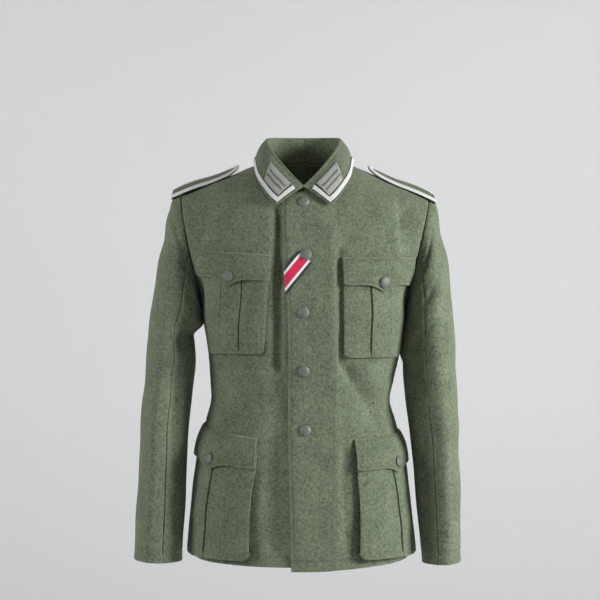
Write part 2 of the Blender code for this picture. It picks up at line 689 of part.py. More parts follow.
def collar_neck(side, u):
    """The neck seam under the collar."""
    psi = np.radians(collar_column("neck", u))
    reach, z = neck_point(side, psi)
    fall = (crest(side, reach) - z) / SHOULDER_DROP
    middle = -CLOTH / 2 * fall
    lift = lap_out(reach) if side > 0 else 0.0
    front = body_point(side, theta_of(side, reach, z), z, middle + lift)
    back = body_point(side, theta_of(side, reach, z, True), z, middle)
    place = np.where((psi > math.pi / 2)[..., None], back, front)
    place[..., 0] = np.where(np.abs(u) < 1e-9, side * 0.0006, place[..., 0])
    place[..., 2] += COLLAR_SEAM_GAP
    return place


def collar_leaf(side, u, v):
    """The leaf's middle surface: v is 0 at the fold and 1 at the free edge."""
    u, v = np.broadcast_arrays(np.asarray(u, float), np.asarray(v, float))
    fold = np.stack([collar_column(f"fold_{axis}", u) for axis in "xyz"], axis=-1)
    edge = np.stack([collar_column(f"edge_{axis}", u) for axis in "xyz"], axis=-1)
    away = collar_away(u)
    start = fold + away * COLLAR_FOLD_RADIUS - np.array([0, 0, COLLAR_FOLD_RADIUS])
    bulge = collar_column("bulge", u) * np.sin(math.pi * np.clip(v, 0, 1) ** 0.8)
    lift = away * bulge[..., None] + np.array([0, 0, 0.4]) * bulge[..., None]
    place = start + (edge - start) * v[..., None] + lift
    return place * np.array([side, 1, 1])


def collar_away(u):
    """The level direction away from the neck, on the wearer's left half."""
    turn = np.radians(collar_column("neck", u))
    way = np.stack([np.sin(turn), -np.cos(turn), 0 * turn], axis=-1)
    return way / np.linalg.norm(way, axis=-1, keepdims=True)


def collar_strip(side, u):
    """The collar's middle surface down one line: stand, fold and leaf."""
    fold = np.stack([collar_column(f"fold_{axis}", u) for axis in "xyz"], axis=-1)
    away = collar_away(u)
    up = np.array([0, 0, 1.0])
    turn_middle = fold - up * COLLAR_FOLD_RADIUS
    mirror = np.array([side, 1, 1])
    seam = collar_neck(side, u) * mirror
    stand_top = turn_middle - away * COLLAR_FOLD_RADIUS
    rows = []
    for share in (0.0, 0.35, 0.7):
        rows.append((seam + (stand_top - seam) * share) * mirror)
    for angle in np.radians((180, 135, 90, 45)):
        place = turn_middle + (away * math.cos(angle) + up * math.sin(angle)) * COLLAR_FOLD_RADIUS
        rows.append(place * mirror)
    for share in (0.0, 0.2, 0.45, 0.72, 1.0):
        rows.append(collar_leaf(side, u, np.full(np.shape(u), share)))
    return np.stack(rows)


def make_collar():
    stations = np.array([0, 0.35, 0.8, 1.3, 1.8, 2.3, 2.8, 3.3, 3.8, 4.3, 4.8, 5.3, 5.8, 6.4, 7.0])
    right = collar_strip(-1.0, stations)
    left = collar_strip(1.0, stations)
    middle = np.concatenate([right, left[:, -2::-1]], axis=1)
    normal = grid_normals(middle)
    if normal[-1, 5] @ np.array([0, -1.0, 0]) < 0:
        normal = -normal
    away = collar_away(stations)
    away = np.concatenate([away * np.array([-1, 1, 1]), away[-2::-1]])
    normal[0] = -away
    outer = middle + normal * COLLAR_CLOTH / 2
    inner = middle - normal * COLLAR_CLOTH / 2
    wall("collar", outer, inner, "badge_cloth")


def leaf_skin(side, u, v, out):
    """A point `out` metres outside the leaf's outer face."""
    small = 1e-3
    along = collar_leaf(side, u + small, v) - collar_leaf(side, u - small, v)
    down = collar_leaf(side, u, v + small) - collar_leaf(side, u, v - small)
    normal = np.cross(along, down) * side
    normal = normal / np.linalg.norm(normal, axis=-1, keepdims=True)
    facing = (normal * collar_away(u) * np.array([side, 1, 1])).sum(axis=-1, keepdims=True)
    normal = normal * np.where(facing < 0, -1, 1)
    return collar_leaf(side, u, v) + normal * (COLLAR_CLOTH / 2 + out)


def leaf_length(u):
    fold = np.stack([collar_column(f"fold_{axis}", u) for axis in "xyz"], axis=-1)
    edge = np.stack([collar_column(f"edge_{axis}", u) for axis in "xyz"], axis=-1)
    return np.linalg.norm(edge - fold, axis=-1)


def make_braid():
    """Lace along the leaf's front edges and free edge, mitred at both points, in one strip round the neck."""
    front_step = 0.030
    lines = []
    for inset in (BRAID_INSET, BRAID_INSET + BRAID_WIDTH):
        halves = []
        for side in (-1.0, 1.0):
            corner_u = inset / front_step
            corner_v = 1 - inset / float(leaf_length(np.array(0.0)))
            up_front = np.linspace(0.07, 1, 6)[:-1]
            u_front = np.full(5, corner_u)
            v_front = corner_v * up_front
            u_low = corner_u + (7 - corner_u) * np.linspace(0, 1, 22)
            v_low = 1 - inset / leaf_length(u_low)
            u_line = np.concatenate([u_front, u_low])
            v_line = np.concatenate([v_front, v_low])
            halves.append((side, u_line, v_line))
        lines.append(halves)
    outer_rows, inner_rows = [], []
    for halves in lines:
        top, under = [], []
        for side, u_line, v_line in halves:
            high = leaf_skin(side, u_line, v_line, BRAID_GAP + BRAID_THICKNESS)
            low = leaf_skin(side, u_line, v_line, BRAID_GAP)
            if side > 0:
                high, low = high[-2::-1], low[-2::-1]
            top.append(high)
            under.append(low)
        outer_rows.append(np.concatenate(top))
        inner_rows.append(np.concatenate(under))
    wall("collar_braid", np.stack(outer_rows), np.stack(inner_rows), "lace")


def make_patches():
    """The lace patch on each front end of the collar, a slanted oblong."""
    rows = np.linspace(0, 1, 4)[:, None]
    columns = np.linspace(0, 1, 6)[None, :]
    v = PATCH["upper"] + (PATCH["lower"] - PATCH["upper"]) * rows + 0 * columns
    u = PATCH["front"] + (PATCH["rear"] - PATCH["front"]) * columns + PATCH["slant"] * (0.5 - rows)
    for side_name, side in SIDES.items():
        high = leaf_skin(side, u, v, TRIM_GAP + PATCH_THICKNESS)
        low = leaf_skin(side, u, v, TRIM_GAP)
        wall(f"collar_patch_{side_name}", high, low, "grey_lace")


# Pockets and flaps

def on_front(side, arc, z, out):
    """A point of the front by its tape distance from the middle and its height."""
    theta = theta_at_arc(side, arc, z)
    return body_point(side, theta, z, out + front_lift(side, theta, z))


def pocket_stand(size, fall):
    return size["stand"] + (size["lower_stand"] - size["stand"]) * fall


def make_pocket(name, side_name, pocket, size):
    """A patch pocket: its front, with a box pleat in the middle, stands out from the body on side and lower walls."""
    side = SIDES[side_name]
    width = size["width"]
    slit = pocket["slit"]
    far = slit + PLEAT_WIDTH
    # distance across, raised by the pleat (1) or sunk at its slit (-1), and whether the point is a foot on the body
    near_cells = 4 if slit > 0.06 else 3
    near = [(float(a), 0, 0) for a in np.linspace(0.010, slit - 0.0014, near_cells + 1)]
    beyond = [(float(a), 0, 0) for a in np.linspace(far + 0.0010, width - 0.008, 4)]
    pleat = [(slit + 0.0004, -1, 0), (slit + 0.0020, 1, 0), ((slit + far) / 2, 1, 0), (far - 0.0010, 1, 0)]
    columns = [(0.0, 0, 1), (0.0, 0, 0), *near, *pleat, *beyond, (width, 0, 0), (width, 0, 1)]
    top = pocket["flap_top"][0] - 0.016
    bottom = pocket["bottom"]
    falls = (0.0, 0.22, 0.45, 0.68, 0.88, 0.97, 1.0, 1.0)
    feet = (0, 0, 0, 0, 0, 0, 0, 1)
    fall = np.array(falls)[:, None]
    foot_row = np.array(feet)[:, None]
    across = np.array([c[0] for c in columns])[None, :]
    raised = np.array([c[1] for c in columns])[None, :]
    foot = np.maximum(foot_row, np.array([c[2] for c in columns])[None, :])
    corner_in = np.clip(1 - across / CORNER, 0, 1)
    corner_out = np.clip(1 - (width - across) / CORNER, 0, 1)
    corner = CORNER * (1 - np.sqrt(1 - np.maximum(corner_in, corner_out) ** 2 * 0.9))
    z = top + (bottom + corner * fall - top) * fall
    inner_edge = np.array([[arc_of(side, float(read_line(pocket["inner"], h)), float(h))] for h in z[:, 0]])
    stand = pocket_stand(size, fall)
    belly = size["belly"] * np.sin(math.pi * across / width) * np.sin(math.pi * np.minimum(fall, 1) ** 1.2)
    step = PLEAT_RISE * np.where(raised > 0, 1, 0) - 0.0012 * np.where(raised < 0, 1, 0)
    full = stand + belly + step * ease(fall * 4 + 0.2)
    out_high = np.where(foot > 0, FOOT_GAP, full)
    thick = POCKET_CLOTH
    out_low = np.where(foot > 0, FOOT_GAP, full - thick)
    arc = inner_edge + across + 0 * z
    middle = inner_edge + width / 2
    inwards = np.sign(middle - arc) * thick * (np.abs(across - width / 2) > width / 2 - 0.0001)
    up = thick * (fall >= 1)
    outer = on_front(side, arc, z, out_high)
    inner = on_front(side, arc + inwards, z + up, out_low)
    wall(name, outer, inner, "wool")


def flap_shape(side_name, pocket, size, across, fall):
    """(arc, height) of a flap's points: its ends are upright, its lower edge dips to a point in the middle."""
    side = SIDES[side_name]
    width = size["flap_width"]
    share = across / width
    top = pocket["flap_top"][0] + (pocket["flap_top"][1] - pocket["flap_top"][0]) * share
    point = FLAP_POINT * np.exp(-(((share - 0.5) / 0.13) ** 2))
    swing = 0.0030 * np.sin(math.pi * share) ** 2
    ends = np.maximum(np.clip(1 - across / CORNER, 0, 1), np.clip(1 - (width - across) / CORNER, 0, 1))
    corner = 0.8 * CORNER * (1 - np.sqrt(1 - 0.9 * ends ** 2))
    z = top - (pocket["flap_drop"] + point - swing - corner) * fall
    height = float(pocket["flap_top"][0] - pocket["flap_drop"] / 2)
    start = arc_of(side, float(read_line(pocket["flap_inner"], height)), height)
    return start + across + 0 * z, z


def flap_out(size, share, fall):
    """How far a flap's inner face stands off the body."""
    roll = 1 - (1 - fall) ** 2.6
    stand = size["stand"] + PLEAT_RISE + size["belly"] * np.sin(math.pi * np.clip(share, 0, 1)) * 0.6
    return LYING_GAP + (stand + 0.0016) * roll


def flap_point(side_name, pocket, size, across, fall, out):
    """A point `out` metres outside the flap's inner face, with rows that may slope."""
    arc, z = flap_shape(side_name, pocket, size, across, fall)
    stand = flap_out(size, across / size["flap_width"], fall)
    theta = np.zeros(arc.shape)
    for column in range(arc.shape[1]):
        theta[:, column] = theta_at_arc(SIDES[side_name], arc[:, column:column + 1], z[:, column:column + 1])[:, 0]
    return body_point(SIDES[side_name], theta, z, stand + out + front_lift(SIDES[side_name], theta, z))


def make_flap(name, side_name, pocket, size):
    width = size["flap_width"]
    shares = np.array([0, 0.02, 0.05, 0.2, 0.35, 0.43, 0.5, 0.57, 0.65, 0.8, 0.95, 0.98, 1])
    across = shares[None, :] * width
    fall = np.array([0, 0.12, 0.3, 0.6, 0.9, 1.0])[:, None] + 0 * across
    outer = flap_point(side_name, pocket, size, across, fall, POCKET_CLOTH)
    inner = flap_point(side_name, pocket, size, across, fall, 0.0)
    wall(name, outer, inner, "wool")


# Buttons

def make_button(name, place, normal, radius, material="painted_metal"):
    """A domed button turned about its own axis: back face, rim and shallow dome."""
    profile = (
        (0.0, 0.0), (0.86, 0.0), (1.0, 0.22), (0.96, 0.42), (0.80, 0.70), (0.45, 0.94), (0.0, 1.0),
    )
    sides = 12
    normal = np.asarray(normal, float) / np.linalg.norm(normal)
    helper = np.array([0.0, 0.0, 1.0]) if abs(normal[2]) < 0.9 else np.array([0.0, 1.0, 0.0])
    first = np.cross(helper, normal)
    first = first / np.linalg.norm(first)
    second = np.cross(normal, first)
    points = [place]
    for share, rise in profile[1:-1]:
        for i in range(sides):
            turn = 2 * math.pi * i / sides
            ring = first * math.cos(turn) + second * math.sin(turn)
            points.append(place + ring * radius * share + normal * BUTTON_HEIGHT * rise)
    points.append(place + normal * BUTTON_HEIGHT)
    faces = []
    rings = len(profile) - 2
    for i in range(sides):
        j = (i + 1) % sides
        faces.append((0, 1 + j, 1 + i))
        for ring in range(rings - 1):
            low, high = 1 + ring * sides, 1 + (ring + 1) * sides
            faces.append((low + i, low + j, high + j, high + i))
        last = 1 + (rings - 1) * sides
        faces.append((last + i, last + j, len(points) - 1))
    add_object(name, np.array(points), faces, material)


def front_normal(side, theta, z):
    small = 0.004
    across = body_point(side, theta + 0.02, z) - body_point(side, theta - 0.02, z)
    up = body_point(side, theta, z + small) - body_point(side, theta, z - small)
    normal = np.cross(across, up)
    normal = normal / np.linalg.norm(normal)
    return normal if normal @ np.array([side * 0.2, -1.0, 0]) > 0 else -normal


def make_buttons():
    for number, (x, z) in enumerate(FRONT_BUTTONS, 1):
        theta = theta_of(1.0, x, z)
        normal = front_normal(1.0, theta, z)
        shank = 0.0017 if number == 2 else 0.0006
        base = body_point(1.0, theta, z, CLOTH + LAP_GAP) + normal * shank
        make_button(f"button_front_{number}", base, normal, BUTTON_RADIUS)
    for kind, pockets, size in (("breast", BREAST, BREAST_SIZE), ("skirt", SKIRT, SKIRT_SIZE)):
        for side_name in SIDES:
            across = np.array([[size["flap_width"] * 0.5]])
            fall = np.array([[0.72]])
            here = flap_point(side_name, pockets[side_name], size, across, fall, POCKET_CLOTH)[0, 0]
            above = flap_point(side_name, pockets[side_name], size, across, fall - 0.2, POCKET_CLOTH)[0, 0]
            beside = flap_point(side_name, pockets[side_name], size, across + 0.01, fall, POCKET_CLOTH)[0, 0]
            normal = np.cross(beside - here, above - here)
            normal = normal / np.linalg.norm(normal)
            if normal @ np.array([SIDES[side_name] * 0.5, -1.0, 0]) < 0:
                normal = -normal
            make_button(f"button_{kind}_{side_name}", here + normal * 0.0008, normal, BUTTON_RADIUS)


# Shoulder boards

def board_point(side_name, reach, across, high):
    """A point of a shoulder board: reach counts from the middle, across is -1 at the front edge and 1 at the back."""
    side = SIDES[side_name]
    tilt = np.radians(read(BOARD, BOARD_COLUMNS, "tilt", reach))
    half = read(BOARD, BOARD_COLUMNS, "half_width", reach)
    y = BOARD_MIDDLE + across * half * np.cos(tilt) - high * np.sin(tilt)
    base = crest(side, reach) + read(BOARD, BOARD_COLUMNS, "lift", reach)
    z = base + across * half * np.sin(tilt) + high * np.cos(tilt)
    return np.stack([side * reach + 0 * y, y, z], axis=-1)


def make_boards():
    reach = np.array([row[0] for row in BOARD])[:, None]
    across = np.linspace(-1, 1, 6)[None, :]
    for side_name in SIDES:
        top = board_point(side_name, reach, across, BOARD_THICKNESS)
        bottom = board_point(side_name, reach, across, 0.0)
        wall(f"shoulder_board_{side_name}", top, bottom, "wool")


# Ribbon

def make_ribbon():
    """A flat ribbon from the second buttonhole down to the closing edge, and round that edge."""
    start_x, start_z = FRONT_BUTTONS[1]
    half = RIBBON_WIDTH / 2
    slope = np.array([1.0, RIBBON_SLOPE]) / math.hypot(1, RIBBON_SLOPE)
    width_way = np.array([slope[1], -slope[0]])
    columns = np.linspace(-1, 1, 5)[None, :]
    rows = np.linspace(0, 1, 7)[:, None]
    x_start = start_x - 0.0015 + width_way[0] * half * columns
    z_start = start_z - 0.004 + width_way[1] * half * columns
    z_end = z_start + (read(EDGE, EDGE_COLUMNS, "left", z_start - 0.03) - x_start) * RIBBON_SLOPE
    x_end = read(EDGE, EDGE_COLUMNS, "left", z_end) - 0.0006
    z_end = z_start + (x_end - x_start) * RIBBON_SLOPE
    x = x_start + (x_end - x_start) * rows
    z = z_start + (z_end - z_start) * rows
    lift = CLOTH + LAP_GAP + TRIM_GAP
    theta = theta_of(1.0, x, z)
    outer = body_point(1.0, theta, z, lift + RIBBON_THICKNESS)
    inner = body_point(1.0, theta, z, lift)
    # the last row turns the closing edge and goes back level with the cloth's inner face
    turned_out = outer[-1:].copy()
    turned_in = inner[-1:].copy()
    turned_out[..., 0] -= RIBBON_THICKNESS
    turned_out[..., 1] += RIBBON_THICKNESS + TRIM_GAP + CLOTH
    turned_in[..., 1] += TRIM_GAP + CLOTH
    outer[-1, :, 0] -= RIBBON_THICKNESS
    outer = np.concatenate([outer, turned_out])
    inner = np.concatenate([inner, turned_in])
    wall("ribbon", outer, inner, "ribbon")


def main():
    for thing in list(bpy.data.objects):
        bpy.data.objects.remove(thing, do_unlink=True)
    make_fronts()
    make_back()
    make_sleeves()
    make_collar()
    make_braid()
    make_patches()
    for side_name in SIDES:
        make_pocket(f"breast_pocket_{side_name}", side_name, BREAST[side_name], BREAST_SIZE)
        make_flap(f"breast_flap_{side_name}", side_name, BREAST[side_name], BREAST_SIZE)
        make_pocket(f"skirt_pocket_{side_name}", side_name, SKIRT[side_name], SKIRT_SIZE)
        make_flap(f"skirt_flap_{side_name}", side_name, SKIRT[side_name], SKIRT_SIZE)
    make_buttons()
    make_boards()
    make_ribbon()


main()
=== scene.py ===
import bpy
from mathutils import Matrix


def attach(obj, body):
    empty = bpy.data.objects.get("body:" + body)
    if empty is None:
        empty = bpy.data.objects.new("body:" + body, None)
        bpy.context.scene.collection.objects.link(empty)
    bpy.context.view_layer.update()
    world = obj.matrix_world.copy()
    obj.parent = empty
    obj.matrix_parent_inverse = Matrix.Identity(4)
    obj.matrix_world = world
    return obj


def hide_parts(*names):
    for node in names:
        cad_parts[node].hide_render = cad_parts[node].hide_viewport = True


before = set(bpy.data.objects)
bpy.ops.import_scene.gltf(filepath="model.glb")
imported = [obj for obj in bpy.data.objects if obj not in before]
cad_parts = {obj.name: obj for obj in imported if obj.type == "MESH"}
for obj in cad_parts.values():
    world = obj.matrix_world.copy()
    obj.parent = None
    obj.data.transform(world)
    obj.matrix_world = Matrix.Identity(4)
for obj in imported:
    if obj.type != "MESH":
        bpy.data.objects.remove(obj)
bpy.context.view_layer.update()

import math

import bpy
import numpy as np
from mathutils import Vector

# A wool field tunic, closed and filled out as when it is worn. Metres, front to -Y, wearer's left to +X.

sides = {"left": 1.0, "right": -1.0}

cloth = {
    "thick": 0.0022,         # body and sleeves
    "pocketThick": 0.0018,   # pockets and flaps
    "seamGap": 0.0003,
    "lyingGap": 0.0008,
    "lapGap": 0.0010,
    "trimGap": 0.0004,
    "footGap": 0.0011,
    "edgeRound": 0.45,       # share of the thickness that an edge is rounded by
    "stitchIn": 0.0052,      # top-stitching from an edge
    "hemStitch": 0.0170,
    "pucker": 0.00020,
}

print("tunic: camera, floor and light")

view = {"place": (-0.006, -3.0, -0.232), "lens": 104.64, "sensor": 36.0}
stage = {"floor": -1.5, "wall": 4.0, "fillet": 0.9, "halfWidth": 7.0, "front": -6.0, "top": 4.5}
lights = {
    # name: place, aim, size, power, colour
    "sideRight": ((2.66, -1.18, 0.42), (0.15, 0.0, -0.35), 0.9, 132.0, (1.0, 1.0, 0.99)),
    "sideLeft": ((-2.64, -1.14, 0.40), (-0.15, 0.0, -0.35), 1.0, 52.0, (1.0, 1.0, 0.995)),
    "frontTop": ((0.3, -2.4, 2.9), (0.0, 0.0, -0.3), 1.3, 20.0, (1.0, 1.0, 1.0)),
    "wallLeft": ((-2.6, 1.3, 1.3), (-0.6, 4.0, -0.3), 1.8, 24.0, (0.985, 0.99, 1.0)),
    "wallRight": ((2.6, 1.3, 1.3), (0.6, 4.0, -0.3), 1.8, 29.0, (0.985, 0.99, 1.0)),
}
worldLight = {"Color": (0.95, 0.965, 1.0, 1), "Strength": 0.035}


class Graph:
    # a node tree being built: each method adds a node and gives what comes out of it

    def __init__(self, tree):
        self.tree = tree

    def feed(self, made, inputs):
        # an input gets a number, a colour or what comes out of another node
        for key, value in inputs.items():
            if isinstance(value, bpy.types.NodeSocket):
                self.tree.links.new(value, made.inputs[key])
            else:
                made.inputs[key].default_value = value

    def node(self, kind, inputs=None, **settings):
        made = self.tree.nodes.new("ShaderNode" + kind)
        for key, value in settings.items():
            setattr(made, key, value)
        self.feed(made, inputs or {})
        return made.outputs

    def maths(self, operation, *inputs):
        return self.node("Math", dict(enumerate(inputs)), operation=operation)[0]

    def mix(self, share, first, second, **settings):
        return self.node("Mix", {0: share, 6: first, 7: second}, data_type="RGBA", **settings)[2]

    def blend(self, share, first, second):
        return self.node("Mix", {0: share, 2: first, 3: second}, data_type="FLOAT")[0]

    def fit(self, value, low, high, newLow=0.0, newHigh=1.0):
        ends = {"From Min": low, "From Max": high, "To Min": newLow, "To Max": newHigh}
        return self.node("MapRange", {"Value": value, **ends})["Result"]

    def noise(self, place, scale, detail, rough=0.5, twist=0.0):
        values = {"Vector": place, "Scale": scale, "Detail": detail, "Roughness": rough, "Distortion": twist}
        return self.node("TexNoise", values)["Fac"]

    def bump(self, height, strength, distance):
        return self.node("Bump", {"Height": height, "Strength": strength, "Distance": distance})["Normal"]

    def group(self, kind, inputs):
        return self.node("Group", inputs, node_tree=kind)

    def split(self, vector):
        return self.node("SeparateXYZ", {0: vector})

    def place(self):
        return self.node("TexCoord")["Object"]

    def cut(self):
        return self.split(self.node("UVMap", uv_map="cloth")["UV"])


def newMaterial(name):
    material = bpy.data.materials.new(name)
    material.use_nodes = True
    return material, Graph(material.node_tree), material.node_tree.nodes["Principled BSDF"]


def linked(name, data):
    thing = bpy.data.objects.new(name, data)
    bpy.context.scene.collection.objects.link(thing)
    return thing


def gridFaces(rows, columns):
    # the squares of a grid of points, and the numbers of the points
    at = np.arange(rows * columns).reshape(rows, columns)
    return np.stack([at[:-1, :-1], at[:-1, 1:], at[1:, 1:], at[1:, :-1]], axis=-1).reshape(-1, 4), at


def makeCamera():
    camera = linked("camera", bpy.data.cameras.new("camera"))
    camera.data.lens, camera.data.sensor_width = view["lens"], view["sensor"]
    camera.location = view["place"]
    camera.rotation_euler = (math.radians(90), 0, 0)
    bpy.context.scene.camera = camera
    bpy.context.scene.view_settings.view_transform = "Standard"


def makeStage():
    # the floor runs back and turns up in a quarter circle into the wall; one profile carried across the width
    turn = np.linspace(0, math.pi / 2, 17)
    f = stage["fillet"]
    y = np.concatenate([[stage["front"]], stage["wall"] - f + f * np.sin(turn), [stage["wall"]]])
    z = np.concatenate([[stage["floor"]], stage["floor"] + f - f * np.cos(turn), [stage["top"]]])
    x = np.linspace(-stage["halfWidth"], stage["halfWidth"], 9)
    points = np.stack(np.broadcast_arrays(x[None, :], y[:, None], z[:, None]), axis=-1)
    mesh = bpy.data.meshes.new("studioSweep")
    mesh.from_pydata(points.reshape(-1, 3).tolist(), [], gridFaces(*points.shape[:2])[0].tolist())
    mesh.shade_smooth()
    material, graph, shader = newMaterial("paleStudio")
    mottle = graph.noise(graph.place(), 0.7, 2.0)
    tone = graph.mix(mottle, (0.795, 0.797, 0.806, 1), (0.812, 0.814, 0.822, 1))
    graph.feed(shader, {"Base Color": tone, "Roughness": 0.9})
    mesh.materials.append(material)
    linked("studioSweep", mesh)


def makeLights():
    world = bpy.data.worlds.new("studio")
    world.use_nodes = True
    Graph(world.node_tree).feed(world.node_tree.nodes["Background"], worldLight)
    bpy.context.scene.world = world
    for name, (place, aim, size, power, colour) in lights.items():
        lamp = bpy.data.lights.new(name, "AREA")
        lamp.shape, lamp.size, lamp.energy, lamp.color = "SQUARE", size, power, colour
        thing = linked(name, lamp)
        thing.location = place
        thing.rotation_euler = (Vector(aim) - Vector(place)).to_track_quat("-Z", "Y").to_euler()


makeCamera()
makeStage()
makeLights()

print("tunic: cloths, lace and paint")


def newGroup(name, inputs, outputs):
    # inputs by name with what they start at; one without a start is a vector
    tree = bpy.data.node_groups.new(name, "ShaderNodeTree")
    for label, start in inputs.items():
        kind = "Vector" if start is None else "Float" if isinstance(start, float) else "Color"
        made = tree.interface.new_socket(name=label, in_out="INPUT", socket_type="NodeSocket" + kind)
        if start is not None:
            made.default_value = start
    for label, kind in outputs.items():
        tree.interface.new_socket(name=label, in_out="OUTPUT", socket_type="NodeSocket" + kind)
    return tree, Graph(tree), tree.nodes.new("NodeGroupInput").outputs, tree.nodes.new("NodeGroupOutput")


def makeFeltGroup():
    # milled cloth: fine fibres, clumps of a few millimetres, a broad cloud, and stray pale hairs
    starts = {"Vector": None, "Shade": (0.05, 0.07, 0.04, 1), "Lit": (0.15, 0.18, 0.12, 1)}
    starts.update({"Hair": (0.3, 0.3, 0.25, 1), "Hairs": 0.35})
    ends = {"Color": "Color", "Roughness": "Float", "Height": "Float"}
    tree, graph, into, out = newGroup("feltedCloth", starts, ends)
    fibres, clumps, cloud, stray = (
        graph.noise(into["Vector"], *values)
        for values in ((1150.0, 2.0, 0.6), (250.0, 3.0, 0.66, 0.5), (24.0, 3.0, 0.55), (620.0, 1.0, 0.5, 1.8))
    )
    height = graph.blend(0.68, fibres, clumps)
    tone = graph.mix(graph.fit(graph.blend(0.15, height, cloud), 0.37, 0.64), into["Shade"], into["Lit"])
    hairs = graph.maths("MULTIPLY", graph.fit(stray, 0.60, 0.72), into["Hairs"])
    rough = graph.fit(clumps, 0.0, 1.0, 0.86, 1.0)
    graph.feed(out, {"Color": graph.mix(hairs, tone, into["Hair"]), "Roughness": rough, "Height": height})
    return tree


def makeStitchGroup():
    # a row of stitches along the line where the first number of the vector is zero; the second runs along it
    starts = {"Vector": None, "Pitch": 0.0030, "Width": 0.00055}
    tree, graph, into, out = newGroup("stitchRow", starts, {"Mask": "Float", "Dip": "Float"})
    parts = graph.split(into["Vector"])
    across = graph.maths("DIVIDE", graph.maths("ABSOLUTE", parts["X"]), into["Width"])
    beat = graph.maths("FRACT", graph.maths("DIVIDE", parts["Y"], into["Pitch"]))
    dash = graph.fit(graph.maths("ABSOLUTE", graph.maths("SUBTRACT", beat, 0.5)), 0.42, 0.30)
    mask = graph.maths("MULTIPLY", graph.fit(across, 1.25, 0.6), dash)
    graph.feed(out, {"Mask": mask, "Dip": graph.fit(across, 4.0, 0.4)})
    return tree


def makeWearGroup():
    # rubbed edges: strongest at the edge, broken up by a patchy noise
    tree, graph, into, out = newGroup("edgeRub", {"Vector": None, "Distance": 1.0, "Reach": 0.004}, {"Mask": "Float"})
    fade = graph.fit(graph.maths("DIVIDE", into["Distance"], into["Reach"]), 1.0, 0.0)
    patches = graph.fit(graph.noise(into["Vector"], 130.0, 3.0), 0.35, 0.7)
    graph.feed(out, {"Mask": graph.maths("MULTIPLY", fade, patches)})
    return tree


felt, stitchRow, edgeRub = makeFeltGroup(), makeStitchGroup(), makeWearGroup()

sewing = {"thread": (0.15, 0.165, 0.12, 1), "furrowPaintedShade": 0.42, "furrow": -0.00045, "threadRise": 0.0004}
woolHair = (0.36, 0.39, 0.30, 1)


def toned(colour, by):
    return (*(min(1.0, v * by) for v in colour[:3]), 1)


def clothMaterial(name, shade, lit, hair=woolHair, hairs=0.35, stitched=True):
    # felted wool, with painted shade where it is folded in, its rubbed edges and its rows of stitches
    material, graph, shader = newMaterial(name)
    place = graph.place()
    base = graph.group(felt, {"Vector": place, "Shade": shade, "Lit": lit, "Hair": hair, "Hairs": hairs})
    colour, height = base["Color"], graph.maths("MULTIPLY", base["Height"], 0.0007)
    if stitched:
        rows = [graph.node("Attribute", attribute_name=label)["Vector"] for label in ("sewing", "inset")]
        fromEdge, paintedFoldShade = (graph.split(row)["Z"] for row in rows)
        # painted shade: the colour is pulled towards a near-black tone where the inset attribute's third number marks a
        # fold
        colour = graph.mix(paintedFoldShade, colour, toned(shade, 0.12))
        rub = graph.group(edgeRub, {"Vector": place, "Distance": fromEdge, "Reach": 0.0045})["Mask"]
        colour = graph.mix(graph.maths("MULTIPLY", rub, 0.22), colour, toned(lit, 1.35))
        for row in rows:
            stitch = graph.group(stitchRow, {"Vector": row})
            # painted shade: the cloth is darkened along the furrow of each stitch row
            furrowShade = graph.maths("MULTIPLY", stitch["Dip"], sewing["furrowPaintedShade"])
            colour = graph.mix(stitch["Mask"], graph.mix(furrowShade, colour, toned(shade, 0.55)), sewing["thread"])
            deep = graph.maths("MULTIPLY", stitch["Dip"], sewing["furrow"])
            raised = graph.maths("MULTIPLY", stitch["Mask"], sewing["threadRise"])
            height = graph.maths("ADD", graph.maths("ADD", deep, raised), height)
    graph.feed(shader, {
        "Base Color": colour, "Roughness": base["Roughness"], "Normal": graph.bump(height, 0.5, 1.0),
        "Sheen Weight": 0.16, "Sheen Roughness": 0.55, "Sheen Tint": (0.8, 0.86, 0.72, 1), "Specular IOR Level": 0.12,
    })
    return material


def laceMaterial(name, pale, gap):
    # flat woven lace: chevrons run along it on both halves, with a rib at each edge
    material, graph, shader = newMaterial(name)
    cut = graph.cut()
    slanted = graph.maths("MULTIPLY_ADD", graph.maths("ABSOLUTE", cut["Y"]), 0.9, cut["X"])
    beat = graph.maths("PINGPONG", graph.maths("DIVIDE", slanted, 0.0021), 1.0)
    woven = graph.fit(graph.blend(0.3, beat, graph.noise(graph.place(), 1500.0, 2.0)), 0.18, 0.62)
    graph.feed(shader, {
        "Base Color": graph.mix(woven, gap, pale), "Normal": graph.bump(woven, 0.6, 0.0004),
        "Roughness": graph.fit(woven, 0.0, 1.0, 0.72, 0.5), "Sheen Weight": 0.1,
    })
    return material


def stripedMaterial(name, stops, ribPitch, roughness):
    # stripes along the strip, read across it from a ramp; fine ribs run from edge to edge
    material, graph, shader = newMaterial(name)
    cut = graph.cut()
    stripes = graph.node("ValToRGB", {"Fac": cut["Y"]})["Color"]
    ramp = stripes.node.color_ramp
    while len(ramp.elements) < len(stops):
        ramp.elements.new(0.5)
    for element, (where, colour) in zip(ramp.elements, stops):
        element.position, element.color = where, colour
    beat = graph.maths("PINGPONG", graph.maths("DIVIDE", cut["X"], ribPitch), 1.0)
    woven = graph.blend(0.45, beat, graph.noise(graph.place(), 1400.0, 2.0))
    graph.feed(shader, {
        "Base Color": graph.mix(1.0, stripes, graph.fit(woven, 0.0, 1.0, 0.72, 1.1), blend_type="MULTIPLY"),
        "Normal": graph.bump(woven, 0.5, 0.0003),
        "Roughness": graph.fit(woven, 0.0, 1.0, roughness + 0.1, roughness - 0.05),
    })
    return material


